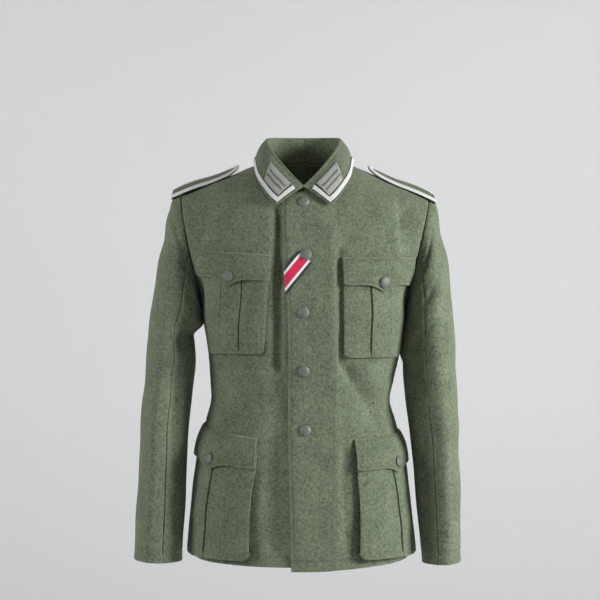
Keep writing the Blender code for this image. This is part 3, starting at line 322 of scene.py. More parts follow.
def buttonMaterial():
    # pebbled metal under worn field-grey paint
    material, graph, shader = newMaterial("paintedButton")
    place = graph.place()
    pebbles = graph.node("TexVoronoi", {"Vector": place, "Scale": 1300.0})["Distance"]
    rub = graph.group(edgeRub, {"Vector": place, "Distance": 0.0, "Reach": 1.0})["Mask"]
    paint = graph.mix(graph.noise(place, 420.0, 3.0), (0.085, 0.098, 0.080, 1), (0.150, 0.166, 0.142, 1))
    graph.feed(shader, {
        "Base Color": graph.mix(graph.maths("MULTIPLY", rub, 0.28), paint, (0.28, 0.29, 0.27, 1)),
        "Metallic": graph.fit(rub, 0.0, 1.0, 0.1, 0.45), "Roughness": graph.fit(rub, 0.0, 1.0, 0.62, 0.42),
        "Normal": graph.bump(pebbles, 0.55, 0.0005),
    })
    return material


def threadMaterial(name, dark, light):
    # sewing thread: fine turns across a small noise
    material, graph, shader = newMaterial(name)
    twist = graph.node("TexWave", {"Vector": graph.place(), "Scale": 520.0, "Distortion": 3.0, "Detail": 1.0})["Fac"]
    graph.feed(shader, {
        "Base Color": graph.mix(twist, dark, light), "Normal": graph.bump(twist, 0.5, 0.0003),
        "Roughness": graph.fit(twist, 0.0, 1.0, 0.9, 0.65),
    })
    return material


def stripes(names, colours):
    # stops of a ramp, written as place and the name of a colour
    return [(where, colours[name]) for where, name in names]


bodyWool = clothMaterial("bodyWool", (0.050, 0.066, 0.038, 1), (0.182, 0.215, 0.142, 1))
collarWool = clothMaterial("collarWool", (0.052, 0.068, 0.040, 1), (0.172, 0.204, 0.136, 1), hairs=0.3)
boardWool = clothMaterial("boardWool", (0.050, 0.064, 0.040, 1), (0.140, 0.166, 0.112, 1), hairs=0.2, stitched=False)
# near-black wool under each strap: partly the strap's own dark underside, partly painted shadow in the gap below it
underlayShadowWool = clothMaterial(
    "underlayShadowWool", (0.012, 0.017, 0.014, 1), (0.035, 0.045, 0.038, 1), (0.09, 0.1, 0.08, 1), 0.15, False,
)
collarLace = laceMaterial("collarLace", (0.66, 0.665, 0.665, 1), (0.44, 0.45, 0.45, 1))
boardLace = laceMaterial("boardLace", (0.80, 0.81, 0.80, 1), (0.50, 0.51, 0.50, 1))
pipingThread = threadMaterial("pipingThread", (0.80, 0.81, 0.80, 1), (0.93, 0.94, 0.93, 1))
sewingThread = threadMaterial("sewingThread", (0.07, 0.08, 0.055, 1), (0.17, 0.185, 0.14, 1))
eyeletThread = threadMaterial("eyeletThread", (0.17, 0.19, 0.15, 1), (0.32, 0.34, 0.29, 1))
# near-black material for the eyelet pits: painted shade for the inside of each hole
eyeletHoleShade = threadMaterial("eyeletHoleShade", (0.006, 0.007, 0.006, 1), (0.012, 0.014, 0.011, 1))
patchLace = stripedMaterial(
    "patchLace",
    stripes(
        ((0.0, "seam"), (0.05, "grey"), (0.27, "grey"), (0.31, "green"), (0.41, "green"), (0.45, "grey"),
         (0.55, "grey"), (0.59, "green"), (0.69, "green"), (0.73, "grey"), (0.95, "grey"), (1.0, "seam")),
        {"grey": (0.33, 0.34, 0.325, 1), "green": (0.135, 0.155, 0.11, 1), "seam": (0.22, 0.23, 0.215, 1)},
    ), 0.0011, 0.72,
)
ribbonSilk = stripedMaterial(
    "ribbonSilk",
    stripes(
        ((0.0, "black"), (0.125, "black"), (0.14, "white"), (0.255, "white"), (0.27, "red"), (0.73, "red"),
         (0.745, "white"), (0.86, "white"), (0.875, "black"), (1.0, "black")),
        {"black": (0.018, 0.022, 0.026, 1), "white": (0.78, 0.78, 0.77, 1), "red": (0.60, 0.012, 0.068, 1)},
    ), 0.0009, 0.55,
)
buttonPaint = buttonMaterial()


print("tunic: the figure's form")


def read(thing, name, at):
    # a smooth cubic (Hermite) curve through one column of a thing's rows, held level beyond their ends
    data = np.array(thing["rows"], float)
    stations, values = data[:, 0], data[:, thing["columns"].index(name)]
    slopes = np.gradient(values, stations)
    at = np.clip(np.asarray(at, float), stations[0], stations[-1])
    k = np.clip(np.searchsorted(stations, at) - 1, 0, len(stations) - 2)
    step = stations[k + 1] - stations[k]
    f = (at - stations[k]) / step
    start = values[k] * (1 + 2 * f) * (1 - f) ** 2 + slopes[k] * step * f * (1 - f) ** 2
    return start + values[k + 1] * (3 - 2 * f) * f ** 2 - slopes[k + 1] * step * (1 - f) * f ** 2


def readLine(pairs, at):
    pairs = sorted(pairs)
    return np.interp(at, [p[0] for p in pairs], [p[1] for p in pairs])


def matched(*values):
    return np.broadcast_arrays(*(np.asarray(value, float) for value in values))


def bySide(side, left, right):
    return np.where(np.asarray(side) > 0, left, right)


def ease(value):
    value = np.clip(value, 0, 1)
    return value * value * (3 - 2 * value)


def bell(value):
    return np.exp(-np.square(value))


def signedPower(value, power):
    return np.sign(value) * np.abs(value) ** power


def unit(vector):
    return vector / np.maximum(np.linalg.norm(vector, axis=-1, keepdims=True), 1e-12)


def fullTurn(count):
    return np.linspace(0, 2 * math.pi, count, endpoint=False)


body = {
    "columns": ("height", "halfLeft", "halfRight", "front", "back"),
    "rows": (
        (-0.690, 0.1825, 0.1885, 0.1430, 0.1040), (-0.620, 0.1780, 0.1860, 0.1425, 0.1035),
        (-0.540, 0.1715, 0.1810, 0.1385, 0.0970), (-0.470, 0.1655, 0.1735, 0.1310, 0.0860),
        (-0.435, 0.1570, 0.1670, 0.1260, 0.0790), (-0.405, 0.1480, 0.1593, 0.1225, 0.0750),
        (-0.370, 0.1551, 0.1605, 0.1235, 0.0760), (-0.325, 0.1655, 0.1637, 0.1285, 0.0840),
        (-0.270, 0.1740, 0.1720, 0.1350, 0.0960), (-0.213, 0.1813, 0.1813, 0.1385, 0.1060),
        (-0.165, 0.2080, 0.2080, 0.1370, 0.1100), (-0.140, 0.2220, 0.2220, 0.1350, 0.1105),
        (-0.100, 0.2470, 0.2470, 0.1280, 0.1080), (-0.050, 0.2750, 0.2750, 0.1100, 0.0920),
        (0.000, 0.2900, 0.2900, 0.0950, 0.0700), (0.050, 0.3000, 0.3000, 0.0850, 0.0600),
    ),
    "middleDepth": 0.015,
    "sectionRound": 2.35,
    "shoulderDrop": 0.11,
    "shoulderRound": 2.2,
    "armpit": -0.213,
    "shoulderEnd": {"left": 0.2157, "right": 0.2117},
    "neckHalf": 0.070,
    "neckFront": 0.1094,
    "neckBack": 0.052,
    "underlap": 0.031,
    "lapFull": 0.036,
    "lapFaded": 0.060,
    "extensionSlope": 0.25,
    "frontColumns": 104,
    "backColumns": 66,
    "lowRows": 128,
    "topRows": 62,
}
crestLine = {
    "columns": ("reach", "left", "right"),
    "rows": (
        (0.000, 0.0450, 0.0450), (0.040, 0.0260, 0.0260), (0.065, 0.0085, 0.0085), (0.084, 0.0005, 0.0003),
        (0.095, -0.0045, -0.0040), (0.117, -0.0150, -0.0142), (0.160, -0.0340, -0.0302),
        (0.2157, -0.0576, -0.0510), (0.270, -0.0810, -0.0710),
    ),
}
closingEdge = {
    "columns": ("height", "reach"),
    "rows": ((-0.690, -0.0200), (-0.450, -0.0262), (-0.250, -0.0272), (-0.157, -0.0322), (-0.060, -0.0372)),
}
hemLine = {
    "columns": ("share", "left", "right", "back"),
    "rows": (
        (-0.200, -0.6800, -0.6735, -0.6690), (0.000, -0.6800, -0.6735, -0.6690),
        (0.450, -0.6745, -0.6720, -0.6690), (1.000, -0.6660, -0.6680, -0.6670),
    ),
}
# troughs, or ridges where the depth is negative: from x, z to x, z, how wide, how deep
folds = {
    "front": (
        (-0.043, -0.085, -0.046, -0.340, 0.0085, 0.0065), (-0.046, -0.350, -0.040, -0.640, 0.0180, 0.0040),
        (0.048, -0.120, 0.056, -0.640, 0.0100, -0.0030), (0.0745, -0.350, 0.127, -0.440, 0.0120, 0.0065),
        (0.108, -0.352, 0.142, -0.405, 0.0140, -0.0035), (0.172, -0.085, 0.172, -0.135, 0.0110, 0.0050),
        (-0.150, -0.370, -0.105, -0.430, 0.016, 0.0040), (-0.120, -0.060, -0.150, -0.110, 0.015, 0.0040),
    ),
    "back": (
        (-0.120, -0.300, -0.050, -0.410, 0.018, 0.0060), (0.125, -0.290, 0.045, -0.400, 0.017, 0.0060),
        (-0.090, -0.440, -0.105, -0.640, 0.022, 0.0060), (0.085, -0.450, 0.110, -0.650, 0.022, 0.0060),
        (-0.020, -0.430, -0.010, -0.650, 0.024, -0.0050), (-0.165, -0.120, -0.140, -0.230, 0.014, 0.0060),
        (0.168, -0.115, 0.140, -0.240, 0.014, 0.0060), (-0.060, -0.030, 0.060, -0.030, 0.012, 0.0030),
    ),
    # creases laid over the main folds
    "frontFine": (
        (-0.0400, -0.095, -0.0405, -0.345, 0.0062, 0.0042), (-0.0490, -0.180, -0.0480, -0.330, 0.0080, 0.0018),
        (0.0590, -0.150, 0.0600, -0.335, 0.0060, 0.0030), (-0.0500, -0.470, -0.0490, -0.640, 0.0140, 0.0045),
        (0.062, -0.335, 0.078, -0.362, 0.0070, 0.0020), (0.118, -0.422, 0.136, -0.452, 0.0060, 0.0016),
        (0.092, -0.432, 0.122, -0.470, 0.0090, 0.0014), (-0.148, -0.396, -0.128, -0.440, 0.0080, 0.0016),
        (-0.135, -0.352, -0.098, -0.372, 0.0080, 0.0013), (-0.082, -0.372, -0.072, -0.432, 0.0110, 0.0013),
        (-0.028, -0.110, -0.020, -0.205, 0.0100, -0.0008), (0.160, -0.062, 0.166, -0.112, 0.0060, 0.0022),
        (0.184, -0.092, 0.181, -0.150, 0.0065, 0.0020), (0.150, -0.118, 0.163, -0.168, 0.0070, -0.0012),
        (-0.172, -0.080, -0.170, -0.140, 0.0070, 0.0020), (-0.158, -0.118, -0.166, -0.168, 0.0080, -0.0010),
        (0.098, -0.070, 0.128, -0.128, 0.0150, 0.0014), (0.070, -0.075, 0.088, -0.130, 0.0120, -0.0009),
        (-0.092, -0.065, -0.112, -0.118, 0.0140, 0.0012), (0.066, -0.480, 0.070, -0.625, 0.0085, 0.0022),
        (-0.064, -0.470, -0.062, -0.610, 0.0100, 0.0020), (-0.012, -0.470, -0.004, -0.660, 0.0140, -0.0010),
        (0.022, -0.500, 0.030, -0.655, 0.0120, 0.0011), (0.004, -0.368, 0.040, -0.384, 0.0070, 0.0008),
        (0.006, -0.268, 0.034, -0.276, 0.0065, 0.0007), (0.140, -0.340, 0.160, -0.372, 0.0070, 0.0014),
        (-0.156, -0.310, -0.150, -0.350, 0.0080, 0.0011),
    ),
    "backFine": (
        (-0.100, -0.345, -0.020, -0.368, 0.0090, 0.0018), (0.104, -0.352, 0.030, -0.372, 0.0085, 0.0018),
        (-0.070, -0.388, 0.010, -0.402, 0.0075, 0.0013), (0.080, -0.408, 0.014, -0.420, 0.0080, 0.0012),
        (-0.130, -0.170, -0.108, -0.265, 0.0095, 0.0018), (0.132, -0.165, 0.112, -0.255, 0.0090, 0.0018),
        (-0.150, -0.100, -0.118, -0.150, 0.0085, 0.0013), (0.150, -0.095, 0.120, -0.150, 0.0085, 0.0013),
        (-0.040, -0.052, 0.045, -0.056, 0.0080, 0.0010), (-0.055, -0.470, -0.066, -0.640, 0.0120, 0.0016),
        (0.045, -0.480, 0.058, -0.645, 0.0120, 0.0016), (0.130, -0.480, 0.146, -0.640, 0.0120, 0.0014),
        (-0.132, -0.490, -0.146, -0.640, 0.0120, 0.0014),
    ),
}


def waves(seed, count, shortest, longest, tall):
    # a few plane waves of mixed length and direction, for the slight unevenness of worn cloth
    random = np.random.default_rng(seed)
    number = 2 * math.pi / random.uniform(shortest, longest, count)
    turn = random.uniform(0, math.pi, count)
    phase = random.uniform(0, 2 * math.pi, count)
    return number * np.cos(turn), number * np.sin(turn), phase, np.full(count, tall) / math.sqrt(count)


def uneven(u, v, pattern):
    total = np.zeros(np.broadcast(u, v).shape)
    for across, down, phase, tall in zip(*pattern):
        total = total + tall * np.sin(across * u + down * v + phase)
    return total


bodyWaves = waves(11, 9, 0.055, 0.16, 0.0008)
sleeveWaves = waves(23, 9, 0.05, 0.15, 0.0010)
pocketWaves = waves(37, 7, 0.035, 0.09, 0.00045)


def crest(side, reach):
    return bySide(side, *(read(crestLine, name, np.abs(reach)) for name in ("left", "right")))


def halfWidth(side, z):
    return bySide(side, read(body, "halfLeft", z), read(body, "halfRight", z))


def foldDepth(table, x, z):
    # each fold sinks the cloth by depth times a bell of the distance from its line
    total = np.zeros(np.broadcast(x, z).shape)
    for x0, z0, x1, z1, reach, depth in table:
        run = (x1 - x0) ** 2 + (z1 - z0) ** 2
        along = np.clip(((x - x0) * (x1 - x0) + (z - z0) * (z1 - z0)) / run, 0, 1)
        away = np.hypot(x - x0 - along * (x1 - x0), z - z0 - along * (z1 - z0))
        total = total + depth * bell(away / reach)
    return total


def shoulderOver(fall):
    # how full the section is where the body has fallen away from the crest by a share of the shoulder's drop
    return (1 - (1 - fall) ** body["shoulderRound"]) ** (1 / body["shoulderRound"])


def bodyPoint(side, theta, z, out=0.0, fine=True):
    # a rounded oblong in plan: x = half width * sin^p, y = depth * cos^p; near the crest the depth rounds over
    # theta runs from the middle front (0) by the side seam (90 degrees) to the middle back
    theta, z = matched(theta, z)
    power = 2 / body["sectionRound"]
    roundX = signedPower(np.sin(theta), power)
    roundY = np.abs(np.cos(theta)) ** power
    isFront = theta <= math.pi / 2 + 1e-9
    xHere = side * halfWidth(side, z) * roundX
    sunkFront, sunkBack = foldDepth(folds["front"], xHere, z), foldDepth(folds["back"], xHere, z)
    if fine:
        sunkFront = sunkFront + foldDepth(folds["frontFine"], xHere, z) + uneven(xHere, z, bodyWaves)
        sunkBack = sunkBack + foldDepth(folds["backFine"], xHere, z) + uneven(xHere + 0.4, z, bodyWaves)
    shift = out - np.where(isFront, sunkFront, sunkBack) * np.minimum(1, roundY * 1.6)
    fall = np.clip((crest(side, xHere) - z) / body["shoulderDrop"], 0, 1)
    over = shoulderOver(fall)
    gap = cloth["seamGap"] / 2
    frontY = body["middleDepth"] - gap - (read(body, "front", z) + shift) * roundY * over
    backY = body["middleDepth"] + gap + (read(body, "back", z) + shift) * roundY * over
    x = side * (halfWidth(side, z) + shift) * roundX
    return np.stack([x + 0 * z, np.where(isFront, frontY, backY), z + shift * (1 - fall)], axis=-1)


def thetaOf(side, reach, z, back=False):
    share = np.clip(np.abs(reach) / halfWidth(side, z), 0, 1)
    theta = np.sign(reach) * np.arcsin(share ** (body["sectionRound"] / 2))
    return math.pi - theta if back else theta


def turnPower(angle, power):
    # the angle whose tangent is that of the given angle to a power
    return np.sign(angle) * np.arctan2(np.abs(np.sin(angle)) ** power, np.abs(np.cos(angle)) ** power)


def evenAngle(theta):
    return turnPower(theta, 2 / body["sectionRound"])


def neckPoint(side, psi):
    # the neck seam, an ellipse in plan, found by halving the fall below the crest
    reach = body["neckHalf"] * np.sin(psi)
    ahead = np.cos(psi)
    target = np.where(ahead > 0, body["neckFront"] * ahead, -body["neckBack"] * ahead)
    top = crest(side, reach)
    above, below = np.zeros(np.shape(reach)), np.full(np.shape(reach), 0.9)
    for _ in range(24):
        fall = (above + below) / 2
        z = top - body["shoulderDrop"] * fall
        flat = np.cos(thetaOf(side, reach, z)) ** (2 / body["sectionRound"])
        depth = np.where(ahead > 0, read(body, "front", z), read(body, "back", z))
        short = depth * flat * shoulderOver(fall) < target
        above, below = np.where(short, fall, above), np.where(short, below, fall)
    return reach, z


def armhole(sideName, phi):
    # the armhole seam, straight as seen from the front: phi is 0 on the shoulder
    end = body["shoulderEnd"][sideName]
    top = (end, float(crest(sides[sideName], end)))
    bottom = (float(halfWidth(sides[sideName], body["armpit"])), body["armpit"])
    share = (1 - signedPower(np.cos(phi), 2 / sleeve["round"])) / 2
    return top[0] + (bottom[0] - top[0]) * share, top[1] + (bottom[1] - top[1]) * share


def addMesh(name, points, faces, material, uv=None, layers=None):
    # a closed mesh whose faces point outwards: the sign of its volume says which way they run
    a, b, c, d = (points[faces[:, k]] for k in range(4))
    if np.einsum("ij,ij->", a, np.cross(b, c)) + np.einsum("ij,ij->", a, np.cross(c, d)) < 0:
        faces = faces[:, ::-1]
    mesh = bpy.data.meshes.new(name)
    mesh.from_pydata(points.tolist(), [], [list(dict.fromkeys(f)) for f in faces.tolist()])
    if uv is not None:
        corners = np.zeros(len(mesh.loops), dtype=np.int32)
        mesh.loops.foreach_get("vertex_index", corners)
        mesh.uv_layers.new(name="cloth").data.foreach_set("uv", uv[corners].astype(np.float32).ravel())
    for label, values in (layers or {}).items():
        made = mesh.attributes.new(label, "FLOAT_VECTOR", "POINT")
        made.data.foreach_set("vector", values.astype(np.float32).ravel())
    mesh.materials.append(material)
    mesh.shade_smooth()
    thing = linked(name, mesh)
    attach(thing, "root")
    return thing


def dress(piece, solid):
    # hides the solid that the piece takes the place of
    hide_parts(solid)
    return piece


def borderDistances(points):
    # tape lengths over the grid from its first row, last row, first column and last column
    down = np.linalg.norm(np.diff(points, axis=0), axis=-1)
    across = np.linalg.norm(np.diff(points, axis=1), axis=-1)
    top = np.concatenate([np.zeros((1, points.shape[1])), np.cumsum(down, axis=0)])
    left = np.concatenate([np.zeros((points.shape[0], 1)), np.cumsum(across, axis=1)], axis=1)
    return {"first": top, "last": top[-1:] - top, "left": left, "right": left[:, -1:] - left}


def lines(count, length, near=(), far=()):
    # shares 0 to 1 in even steps, with extra lines at given distances from the two ends
    extra = np.array([d / length for d in near] + [1 - d / length for d in far] + [0.0, 1.0])
    even = np.linspace(0, 1, count + 1)
    keep = np.abs(even[:, None] - extra[None, :]).min(axis=1) > 0.5 / count
    return np.unique(np.round(np.concatenate([even[keep], extra]), 7))


edgeLines = (0.0016, 0.0028, 0.0040, 0.0052, 0.0064, 0.0080)
hemLines = (0.0016, 0.0030, 0.0050, 0.0150, 0.0162, 0.0170, 0.0178, 0.0190)


# height, distance from the edge and reach of each bell: a seam sinks at its edge, and a turned edge is a bead with
# a furrow where it is stitched
edgeShapes = {
    "seam": ((-0.0009, 0.0, 0.0019), (0.00035, 0.0062, 0.0035)),
    "hem": ((0.0003, 0.0025, 0.0020), (-0.0005, cloth["hemStitch"], 0.0018)),
    "fold": ((0.00015, 0.0024, 0.0017), (-0.0004, cloth["stitchIn"], 0.0013)),
    "none": (),
}
# sewing puckers the cloth: how far from the edge it fades, and two wave lengths with their shares
puckers = {"reach": {"seam": 0.009, "hem": 0.022}, "waves": ((0.0023, 1.0), (0.0041, 0.7)), "start": 6.0}


def edgeShape(kind, distance):
    return sum(tall * bell((distance - where) / reach) for tall, where, reach in edgeShapes[kind])


def clothWall(
    name, outer, inner, material, edges=None, stitches=None, inset=None, uv=None, pucker=cloth["pucker"], seed=5,
):
    # a closed wall of cloth between two grids. The edges are rounded: three rows run round a half circle between
    # the pulled-in borders of the two faces. Distances to the borders are kept for the stitching.
    away = borderDistances(outer)
    runs = {border: away["left" if border in ("first", "last") else "first"] for border in away}
    direction = unit(outer - inner)
    move = np.zeros(outer.shape[:2])
    random = np.random.default_rng(seed)
    for border, kind in (edges or {}).items():
        move = move + edgeShape(kind, away[border])
        if kind in puckers["reach"]:
            starts = random.uniform(0, puckers["start"], len(puckers["waves"]))
            turns = zip(puckers["waves"], starts)
            ripple = sum(share * np.sin(runs[border] / length + start) for (length, share), start in turns)
            move = move + pucker * ripple * bell(away[border] / puckers["reach"][kind])
    outer, inner = (face + direction * move[..., None] for face in (outer, inner))
    quad, at = gridFaces(*outer.shape[:2])
    ring = np.concatenate([at[0, :], at[1:, -1], at[-1, -2::-1], at[-2:0:-1, 0]])
    outward = np.zeros_like(outer)
    outward[0] += outer[0] - outer[1]
    outward[-1] += outer[-1] - outer[-2]
    outward[:, 0] += outer[:, 0] - outer[:, 1]
    outward[:, -1] += outer[:, -1] - outer[:, -2]
    outer, inner = outer.reshape(-1, 3).copy(), inner.reshape(-1, 3).copy()
    middle, half = (outer[ring] + inner[ring]) / 2, (outer[ring] - inner[ring]) / 2
    pull = unit(outward.reshape(-1, 3)[ring]) * np.linalg.norm(half, axis=1, keepdims=True) * 2 * cloth["edgeRound"]
    rims = [middle - pull * (1 - math.sin(angle)) + half * math.cos(angle) for angle in np.radians((45, 90, 135))]
    outer[ring] -= pull
    inner[ring] -= pull
    here = np.arange(len(ring))
    there = np.roll(here, -1)
    tracks = [ring, *[2 * at.size + k * len(ring) + here for k in range(3)], at.size + ring]
    faces = [quad, quad[:, ::-1] + at.size]
    for upper, lower in zip(tracks[:-1], tracks[1:]):
        faces.append(np.stack([upper[there], upper[here], lower[here], lower[there]], axis=-1))
    # first row of stitches: distance, run along it, and the distance to the nearest edge
    sewn, run = np.full(at.shape, 1.0), np.zeros(at.shape)
    for border, offset in (stitches or {}).items():
        closer = away[border] - offset < sewn
        run, sewn = np.where(closer, runs[border], run), np.where(closer, away[border] - offset, sewn)
    # second row: distance, run along it, and the share of painted shade where the cloth folds in
    second = (np.ones(at.shape), np.ones(at.shape), np.zeros(at.shape)) if inset is None else inset
    layers = {"sewing": (sewn, run, np.minimum.reduce(list(away.values()))), "inset": second}

    def spread(values):
        values = values.reshape(at.size, -1)
        return np.concatenate([values, values, *[values[ring]] * 3])

    uv = np.stack([away["left"], away["first"]], axis=-1) if uv is None else uv
    return addMesh(
        name, np.concatenate([outer, inner, *rims]), np.concatenate(faces), material, spread(uv),
        {label: spread(np.stack(values, axis=-1)) for label, values in layers.items()},
    )


def ringFaces(count, sideCount, closed=False):
    # squares between the rings of a tube; an open tube has a pole at each end, numbered after the rings
    at = np.arange(count * sideCount).reshape(count, sideCount)
    after = np.roll(at, -1, axis=1)
    if closed:
        return np.stack([at, after, np.roll(after, -1, axis=0), np.roll(at, -1, axis=0)], axis=-1).reshape(-1, 4)
    low, high = np.full(sideCount, at.size), np.full(sideCount, at.size + 1)
    quads = np.stack([at[:-1], after[:-1], after[1:], at[1:]], axis=-1).reshape(-1, 4)
    ends = [np.stack([after[0], at[0], low, low], axis=-1), np.stack([at[-1], after[-1], high, high], axis=-1)]
    return np.concatenate([quads, *ends])


def lathe(name, profile, place, axis, sideCount, material):
    # a profile of (radius, height) turned about an axis, closed at both poles
    axis = unit(np.asarray(axis, float))
    helper = np.array([0.0, 0.0, 1.0]) if abs(axis[2]) < 0.9 else np.array([0.0, 1.0, 0.0])
    first = unit(np.cross(helper, axis))
    turn = fullTurn(sideCount)[:, None]
    spoke = np.cos(turn) * first + np.sin(turn) * np.cross(axis, first)
    radius, height = np.array(profile[1:-1], float).T[:, :, None, None]
    rings = place + spoke[None] * radius + axis * height
    points = np.concatenate([rings.reshape(-1, 3), [place + axis * profile[0][1]], [place + axis * profile[-1][1]]])
    return addMesh(name, points, ringFaces(len(profile) - 2, sideCount), material)


def tube(name, path, up, radius, material, sideCount=8, closed=False, squash=1.0):
    # a round section carried along a path; `up` is one direction of the section at each point
    if closed:
        tangent = unit(np.roll(path, -1, axis=0) - np.roll(path, 1, axis=0))
    else:
        tangent = unit(np.gradient(path, axis=0))
    beside = unit(np.cross(tangent, up))
    rise = np.cross(beside, tangent)
    turn = fullTurn(sideCount)[None, :, None]
    rings = path[:, None] + radius * (np.cos(turn) * beside[:, None] + squash * np.sin(turn) * rise[:, None])
    points = rings.reshape(-1, 3)
    if not closed:
        points = np.concatenate([points, path[:1], path[-1:]])
    return addMesh(name, points, ringFaces(len(path), sideCount, closed), material)


print("tunic: fronts and back")

sleeve = {
    "columns": ("ring", "outerX", "outerZ", "innerX", "innerZ", "middleY", "halfDepth"),
    "left": (
        (0.2157, -0.0576, 0.1813, -0.2130, 0.015, 0.0720), (0.2255, -0.0650, 0.1825, -0.2220, 0.015, 0.0760),
        (0.2325, -0.0900, 0.1825, -0.2320, 0.015, 0.0800), (0.2400, -0.1250, 0.1825, -0.2450, 0.014, 0.0820),
        (0.2480, -0.1720, 0.1805, -0.2620, 0.012, 0.0820), (0.2547, -0.2294, 0.1780, -0.2850, 0.009, 0.0800),
        (0.2580, -0.2850, 0.1725, -0.3150, 0.005, 0.0770), (0.2605, -0.3380, 0.1705, -0.3540, 0.001, 0.0730),
        (0.2622, -0.3950, 0.1745, -0.4040, -0.004, 0.0690), (0.2640, -0.4500, 0.1810, -0.4560, -0.010, 0.0660),
        (0.2654, -0.5100, 0.1870, -0.5140, -0.017, 0.0620), (0.2656, -0.5720, 0.1915, -0.5760, -0.024, 0.0580),
        (0.2654, -0.6320, 0.1975, -0.6360, -0.031, 0.0540), (0.2649, -0.6730, 0.2010, -0.6770, -0.036, 0.0520),
    ),
    "right": (
        (0.2117, -0.0493, 0.1813, -0.2130, 0.015, 0.0720), (0.2225, -0.0560, 0.1825, -0.2210, 0.015, 0.0760),
        (0.2310, -0.0790, 0.1830, -0.2300, 0.015, 0.0800), (0.2385, -0.1130, 0.1835, -0.2420, 0.014, 0.0820),
        (0.2475, -0.1600, 0.1860, -0.2580, 0.012, 0.0820), (0.2589, -0.2294, 0.1900, -0.2820, 0.009, 0.0800),
        (0.2645, -0.2790, 0.1865, -0.3080, 0.005, 0.0770), (0.2690, -0.3290, 0.1850, -0.3440, 0.001, 0.0730),
        (0.2735, -0.3870, 0.1905, -0.3950, -0.004, 0.0690), (0.2768, -0.4450, 0.1960, -0.4500, -0.010, 0.0660),
        (0.2800, -0.5100, 0.1990, -0.5140, -0.017, 0.0620), (0.2825, -0.5720, 0.2005, -0.5760, -0.024, 0.0580),
        (0.2850, -0.6320, 0.2045, -0.6360, -0.031, 0.0540), (0.2855, -0.6700, 0.2060, -0.6740, -0.036, 0.0520),
    ),
    "round": 2.15,
    "seamAt": math.radians(106),
    "blendRings": 3.2,
    "gap": 0.0095,
    # in the scene: clear of the body at the armhole, and more so on the shoulder
    "clear": 0.0003,
    "clearOnTop": 0.0007,
    "upperColumns": 70,
    "underColumns": 46,
    "rows": 176,
    # ring number, place round it in degrees (0 outside, 90 front), their reach, depth and slant
    "folds": (
        (5.2, 60, 0.50, 50, 0.0040, 0.006), (6.4, 110, 0.45, 60, 0.0055, 0.006), (7.5, 85, 0.45, 55, 0.0050, 0.006),
        (8.6, 120, 0.50, 50, 0.0040, 0.006), (3.0, 40, 0.60, 35, 0.0045, 0.006), (6.8, 250, 0.50, 60, 0.0045, 0.006),
        (10.2, 75, 0.60, 45, 0.0030, 0.006),
    ),
    "foldsFine": (
        (5.8, 130, 0.20, 40, 0.0022, 0.010), (7.0, 140, 0.20, 38, 0.0026, 0.004), (8.0, 150, 0.20, 40, 0.0022, 0.012),
        (6.0, 215, 0.22, 40, 0.0020, -0.008), (7.6, 225, 0.22, 42, 0.0022, -0.004), (9.3, 100, 0.25, 36, 0.0016, 0.009),
        (11.2, 110, 0.28, 40, 0.0014, 0.005), (12.2, 60, 0.25, 34, 0.0012, -0.006), (1.6, 70, 0.30, 18, 0.0022, 0.014),
        (2.2, 105, 0.35, 22, 0.0026, 0.018), (4.1, 95, 0.28, 30, 0.0020, 0.012), (4.6, 200, 0.28, 36, 0.0020, -0.010),
        (9.0, 20, 0.35, 30, -0.0012, 0.004), (11.6, 250, 0.30, 38, 0.0016, 0.004),
        (10.0, 300, 0.35, 34, 0.0015, -0.006),
    ),
    # the hollow down the inner front of the arm, with deeper pits at the bend: as above, without the slant
    "hollows": (
        (9.4, 136, 3.8, 31, 0.0145), (5.9, 134, 0.42, 24, 0.0085), (7.5, 128, 0.50, 24, 0.0085),
        (9.2, 138, 0.40, 20, 0.0040), (9.4, 78, 3.8, 15, -0.0045),
    ),
    "hollowShare": {"left": 1.0, "right": 0.9},
    # how far the arm's front edge turns outwards, and from which ring to which
    "turnedOut": {"left": 0.0020, "right": 0.0010},
    "turnedRings": (4.5, 7.5),
    # heights between which the sleeve parts from the body's side
    "parting": {"left": (-0.320, -0.342), "right": (-0.270, -0.294)},
    # in the scene the sleeve is this much further in than the body's side, so that no light shows between them
    "pressed": 0.0012,
    # folds fade towards the inner outline, below this ring: strength and reach in degrees
    "still": (4.0, 0.95, 26),
}
for sideName in sides:
    sleeve[sideName] = {
        "columns": sleeve["columns"], "rows": [(float(i), *row) for i, row in enumerate(sleeve[sideName])],
    }
lastRing = len(sleeve["left"]["rows"]) - 1


def patchBetween(bottom, top, left, right, s, r):
    # four boundary curves blended over a grid: the two ruled surfaces less the one through the corners
    s, r = s[None, :, None], r[:, None, None]
    bottom, top, left, right = bottom[None, :, :], top[None, :, :], left[:, None, :], right[:, None, :]
    corners = (
        (1 - s) * (1 - r) * bottom[:, :1] + s * (1 - r) * bottom[:, -1:]
        + (1 - s) * r * top[:, :1] + s * r * top[:, -1:]
    )
    return (1 - s) * left + s * right + (1 - r) * bottom + r * top - corners


def topCurve(sideName, edge, back, s):
    # the neck seam and then the shoulder seam, from the panel's inner edge to the armhole
    side = sides[sideName]
    turn = 0.36 if back else 0.46
    alongNeck = np.clip(s / turn, 0, 1)
    if back:
        psi = math.pi - alongNeck * math.pi / 2
    else:
        start = -math.asin(min(1, abs(edge) / body["neckHalf"]))
        psi = start + alongNeck * (math.pi / 2 - start)
    reach, height = neckPoint(side, np.maximum(psi, 0))
    pit = float(neckPoint(side, np.array(0.0))[1])
    beyond = body["neckHalf"] * np.sin(np.minimum(psi, 0))
    height = np.where(psi < 0, pit + body["extensionSlope"] * beyond, height)
    reach = np.where(psi < 0, beyond, reach)
    alongShoulder = np.clip((s - turn) / (1 - turn), 0, 1)
    seam = body["neckHalf"] + alongShoulder * (body["shoulderEnd"][sideName] - body["neckHalf"])
    onSeam = s > turn
    return np.stack([np.where(onSeam, seam, reach), np.where(onSeam, crest(side, seam), height)], axis=-1)


